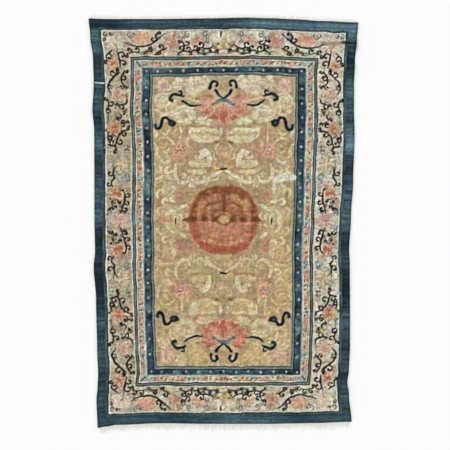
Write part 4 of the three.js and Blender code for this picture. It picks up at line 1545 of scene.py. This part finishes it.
class RUG_OT_lay_fringes(bpy.types.Operator):
    """Lay the cotton fringe and its narrow woven strip at both ends"""

    bl_idname = "rug.lay_fringes"
    bl_label = "Lay Fringes"

    def execute(self, context):
        sizes = context.scene.rug_sizes
        cotton = yarn_table(context.scene.rug_yarns).cotton
        material = fringe_material()
        for name, end, count, length, seed in (
                ("fringe_far", 1, sizes.far_strands, sizes.far_length, 5),
                ("fringe_near", -1, sizes.near_strands, sizes.near_length, 11)):
            points, faces, tones = fringe_cotton(end, count, MM * length, MM * sizes.warp_width, seed)
            mesh = bpy.data.meshes.new(name + "_cotton")
            mesh.from_pydata(points.tolist(), [], faces)
            piece = bpy.data.objects.new(name + "_cotton", mesh)
            context.collection.objects.link(piece)
            dye(mesh, held(cotton * tones[:, None]))
            finish_piece(piece, material, (name,))
        return {"FINISHED"}


# The floor's size, drop and tone, the strength of the sky, and the light's strength, softness and turn
FLOOR_SIZE, FLOOR_DROP, FLOOR_TONE, SKY_STRENGTH = 40.0, 0.0004, 0.96, 0.82
LIGHT_STRENGTH, LIGHT_SOFTNESS, LIGHT_TURN = 0.95, 50, -35
# The camera's place in the drawing, its height over the pile in metres, and its lens
CAMERA_X, CAMERA_Y, CAMERA_HEIGHT, CAMERA_LENS = 9.5, -19.0, 5.9375, 100.0


class RUG_OT_set_stage(bpy.types.Operator):
    """Set the pale floor, the soft light and the camera over the rug"""

    bl_idname = "rug.set_stage"
    bl_label = "Set Stage"

    def execute(self, context):
        scene = context.scene
        bpy.ops.object.select_all(action="DESELECT")
        bpy.ops.mesh.primitive_plane_add(size=FLOOR_SIZE, location=(0, 0, -FLOOR_DROP))
        floor = context.object
        floor.name = "floor"
        paper = Shader("Pale floor")
        paper.surface.inputs["Base Color"].default_value = (FLOOR_TONE, FLOOR_TONE, FLOOR_TONE, 1.0)
        paper.surface.inputs["Roughness"].default_value = 1.0
        paper.surface.inputs["Specular IOR Level"].default_value = 0.0
        floor.data.materials.append(paper.material)

        world = bpy.data.worlds.new("Studio")
        world.use_nodes = True
        sky = world.node_tree.nodes["Background"]
        sky.inputs["Color"].default_value = (1.0, 1.0, 1.0, 1.0)
        sky.inputs["Strength"].default_value = SKY_STRENGTH
        scene.world = world
        turn = math.radians(LIGHT_TURN)
        bpy.ops.object.light_add(type="SUN", location=(-2.0, 2.0, 4.0), rotation=(turn, turn, 0))
        key = context.object
        key.name = "soft_key"
        key.data.energy = LIGHT_STRENGTH
        key.data.angle = math.radians(LIGHT_SOFTNESS)

        place = ((CAMERA_X + SHIFT_X) / MM, (CAMERA_Y + SHIFT_Y) / MM, CAMERA_HEIGHT + PILE_TOP / MM)
        bpy.ops.object.camera_add(location=place)
        camera = context.object
        camera.name = "camera"
        camera.rotation_euler = (0.0, 0.0, 0.0)
        camera.data.lens = CAMERA_LENS
        camera.data.sensor_width = 36.0
        camera.data.clip_end = 100.0
        scene.camera = camera
        scene.view_settings.view_transform = "Standard"
        return {"FINISHED"}


class RUG_PT_maker(bpy.types.Panel):
    """The rug's making, step by step"""

    bl_label = "Rug"
    bl_idname = "RUG_PT_maker"
    bl_space_type = "VIEW_3D"
    bl_region_type = "UI"
    bl_category = "Rug"

    def draw(self, context):
        for operator in OPERATORS:
            self.layout.operator(operator.bl_idname)
        for group in (context.scene.rug_sizes, context.scene.rug_yarns):
            column = self.layout.column(align=True)
            for name in group.__annotations__:
                column.prop(group, name)


OPERATORS = (RUG_OT_weave_back, RUG_OT_knot_pile, RUG_OT_lay_fringes, RUG_OT_set_stage)
CLASSES = (RugSizes, RugYarns) + OPERATORS + (RUG_PT_maker,)


def register():
    for cls in CLASSES:
        bpy.utils.register_class(cls)
    bpy.types.Scene.rug_sizes = bpy.props.PointerProperty(type=RugSizes)
    bpy.types.Scene.rug_yarns = bpy.props.PointerProperty(type=RugYarns)


def unregister():
    del bpy.types.Scene.rug_yarns
    del bpy.types.Scene.rug_sizes
    for cls in reversed(CLASSES):
        bpy.utils.unregister_class(cls)


def main():
    """Makes the rug piece by piece."""
    register()
    bpy.ops.rug.weave_back()
    bpy.ops.rug.knot_pile()
    bpy.ops.rug.lay_fringes()
    bpy.ops.rug.set_stage()


if __name__ == "__main__":
    main()
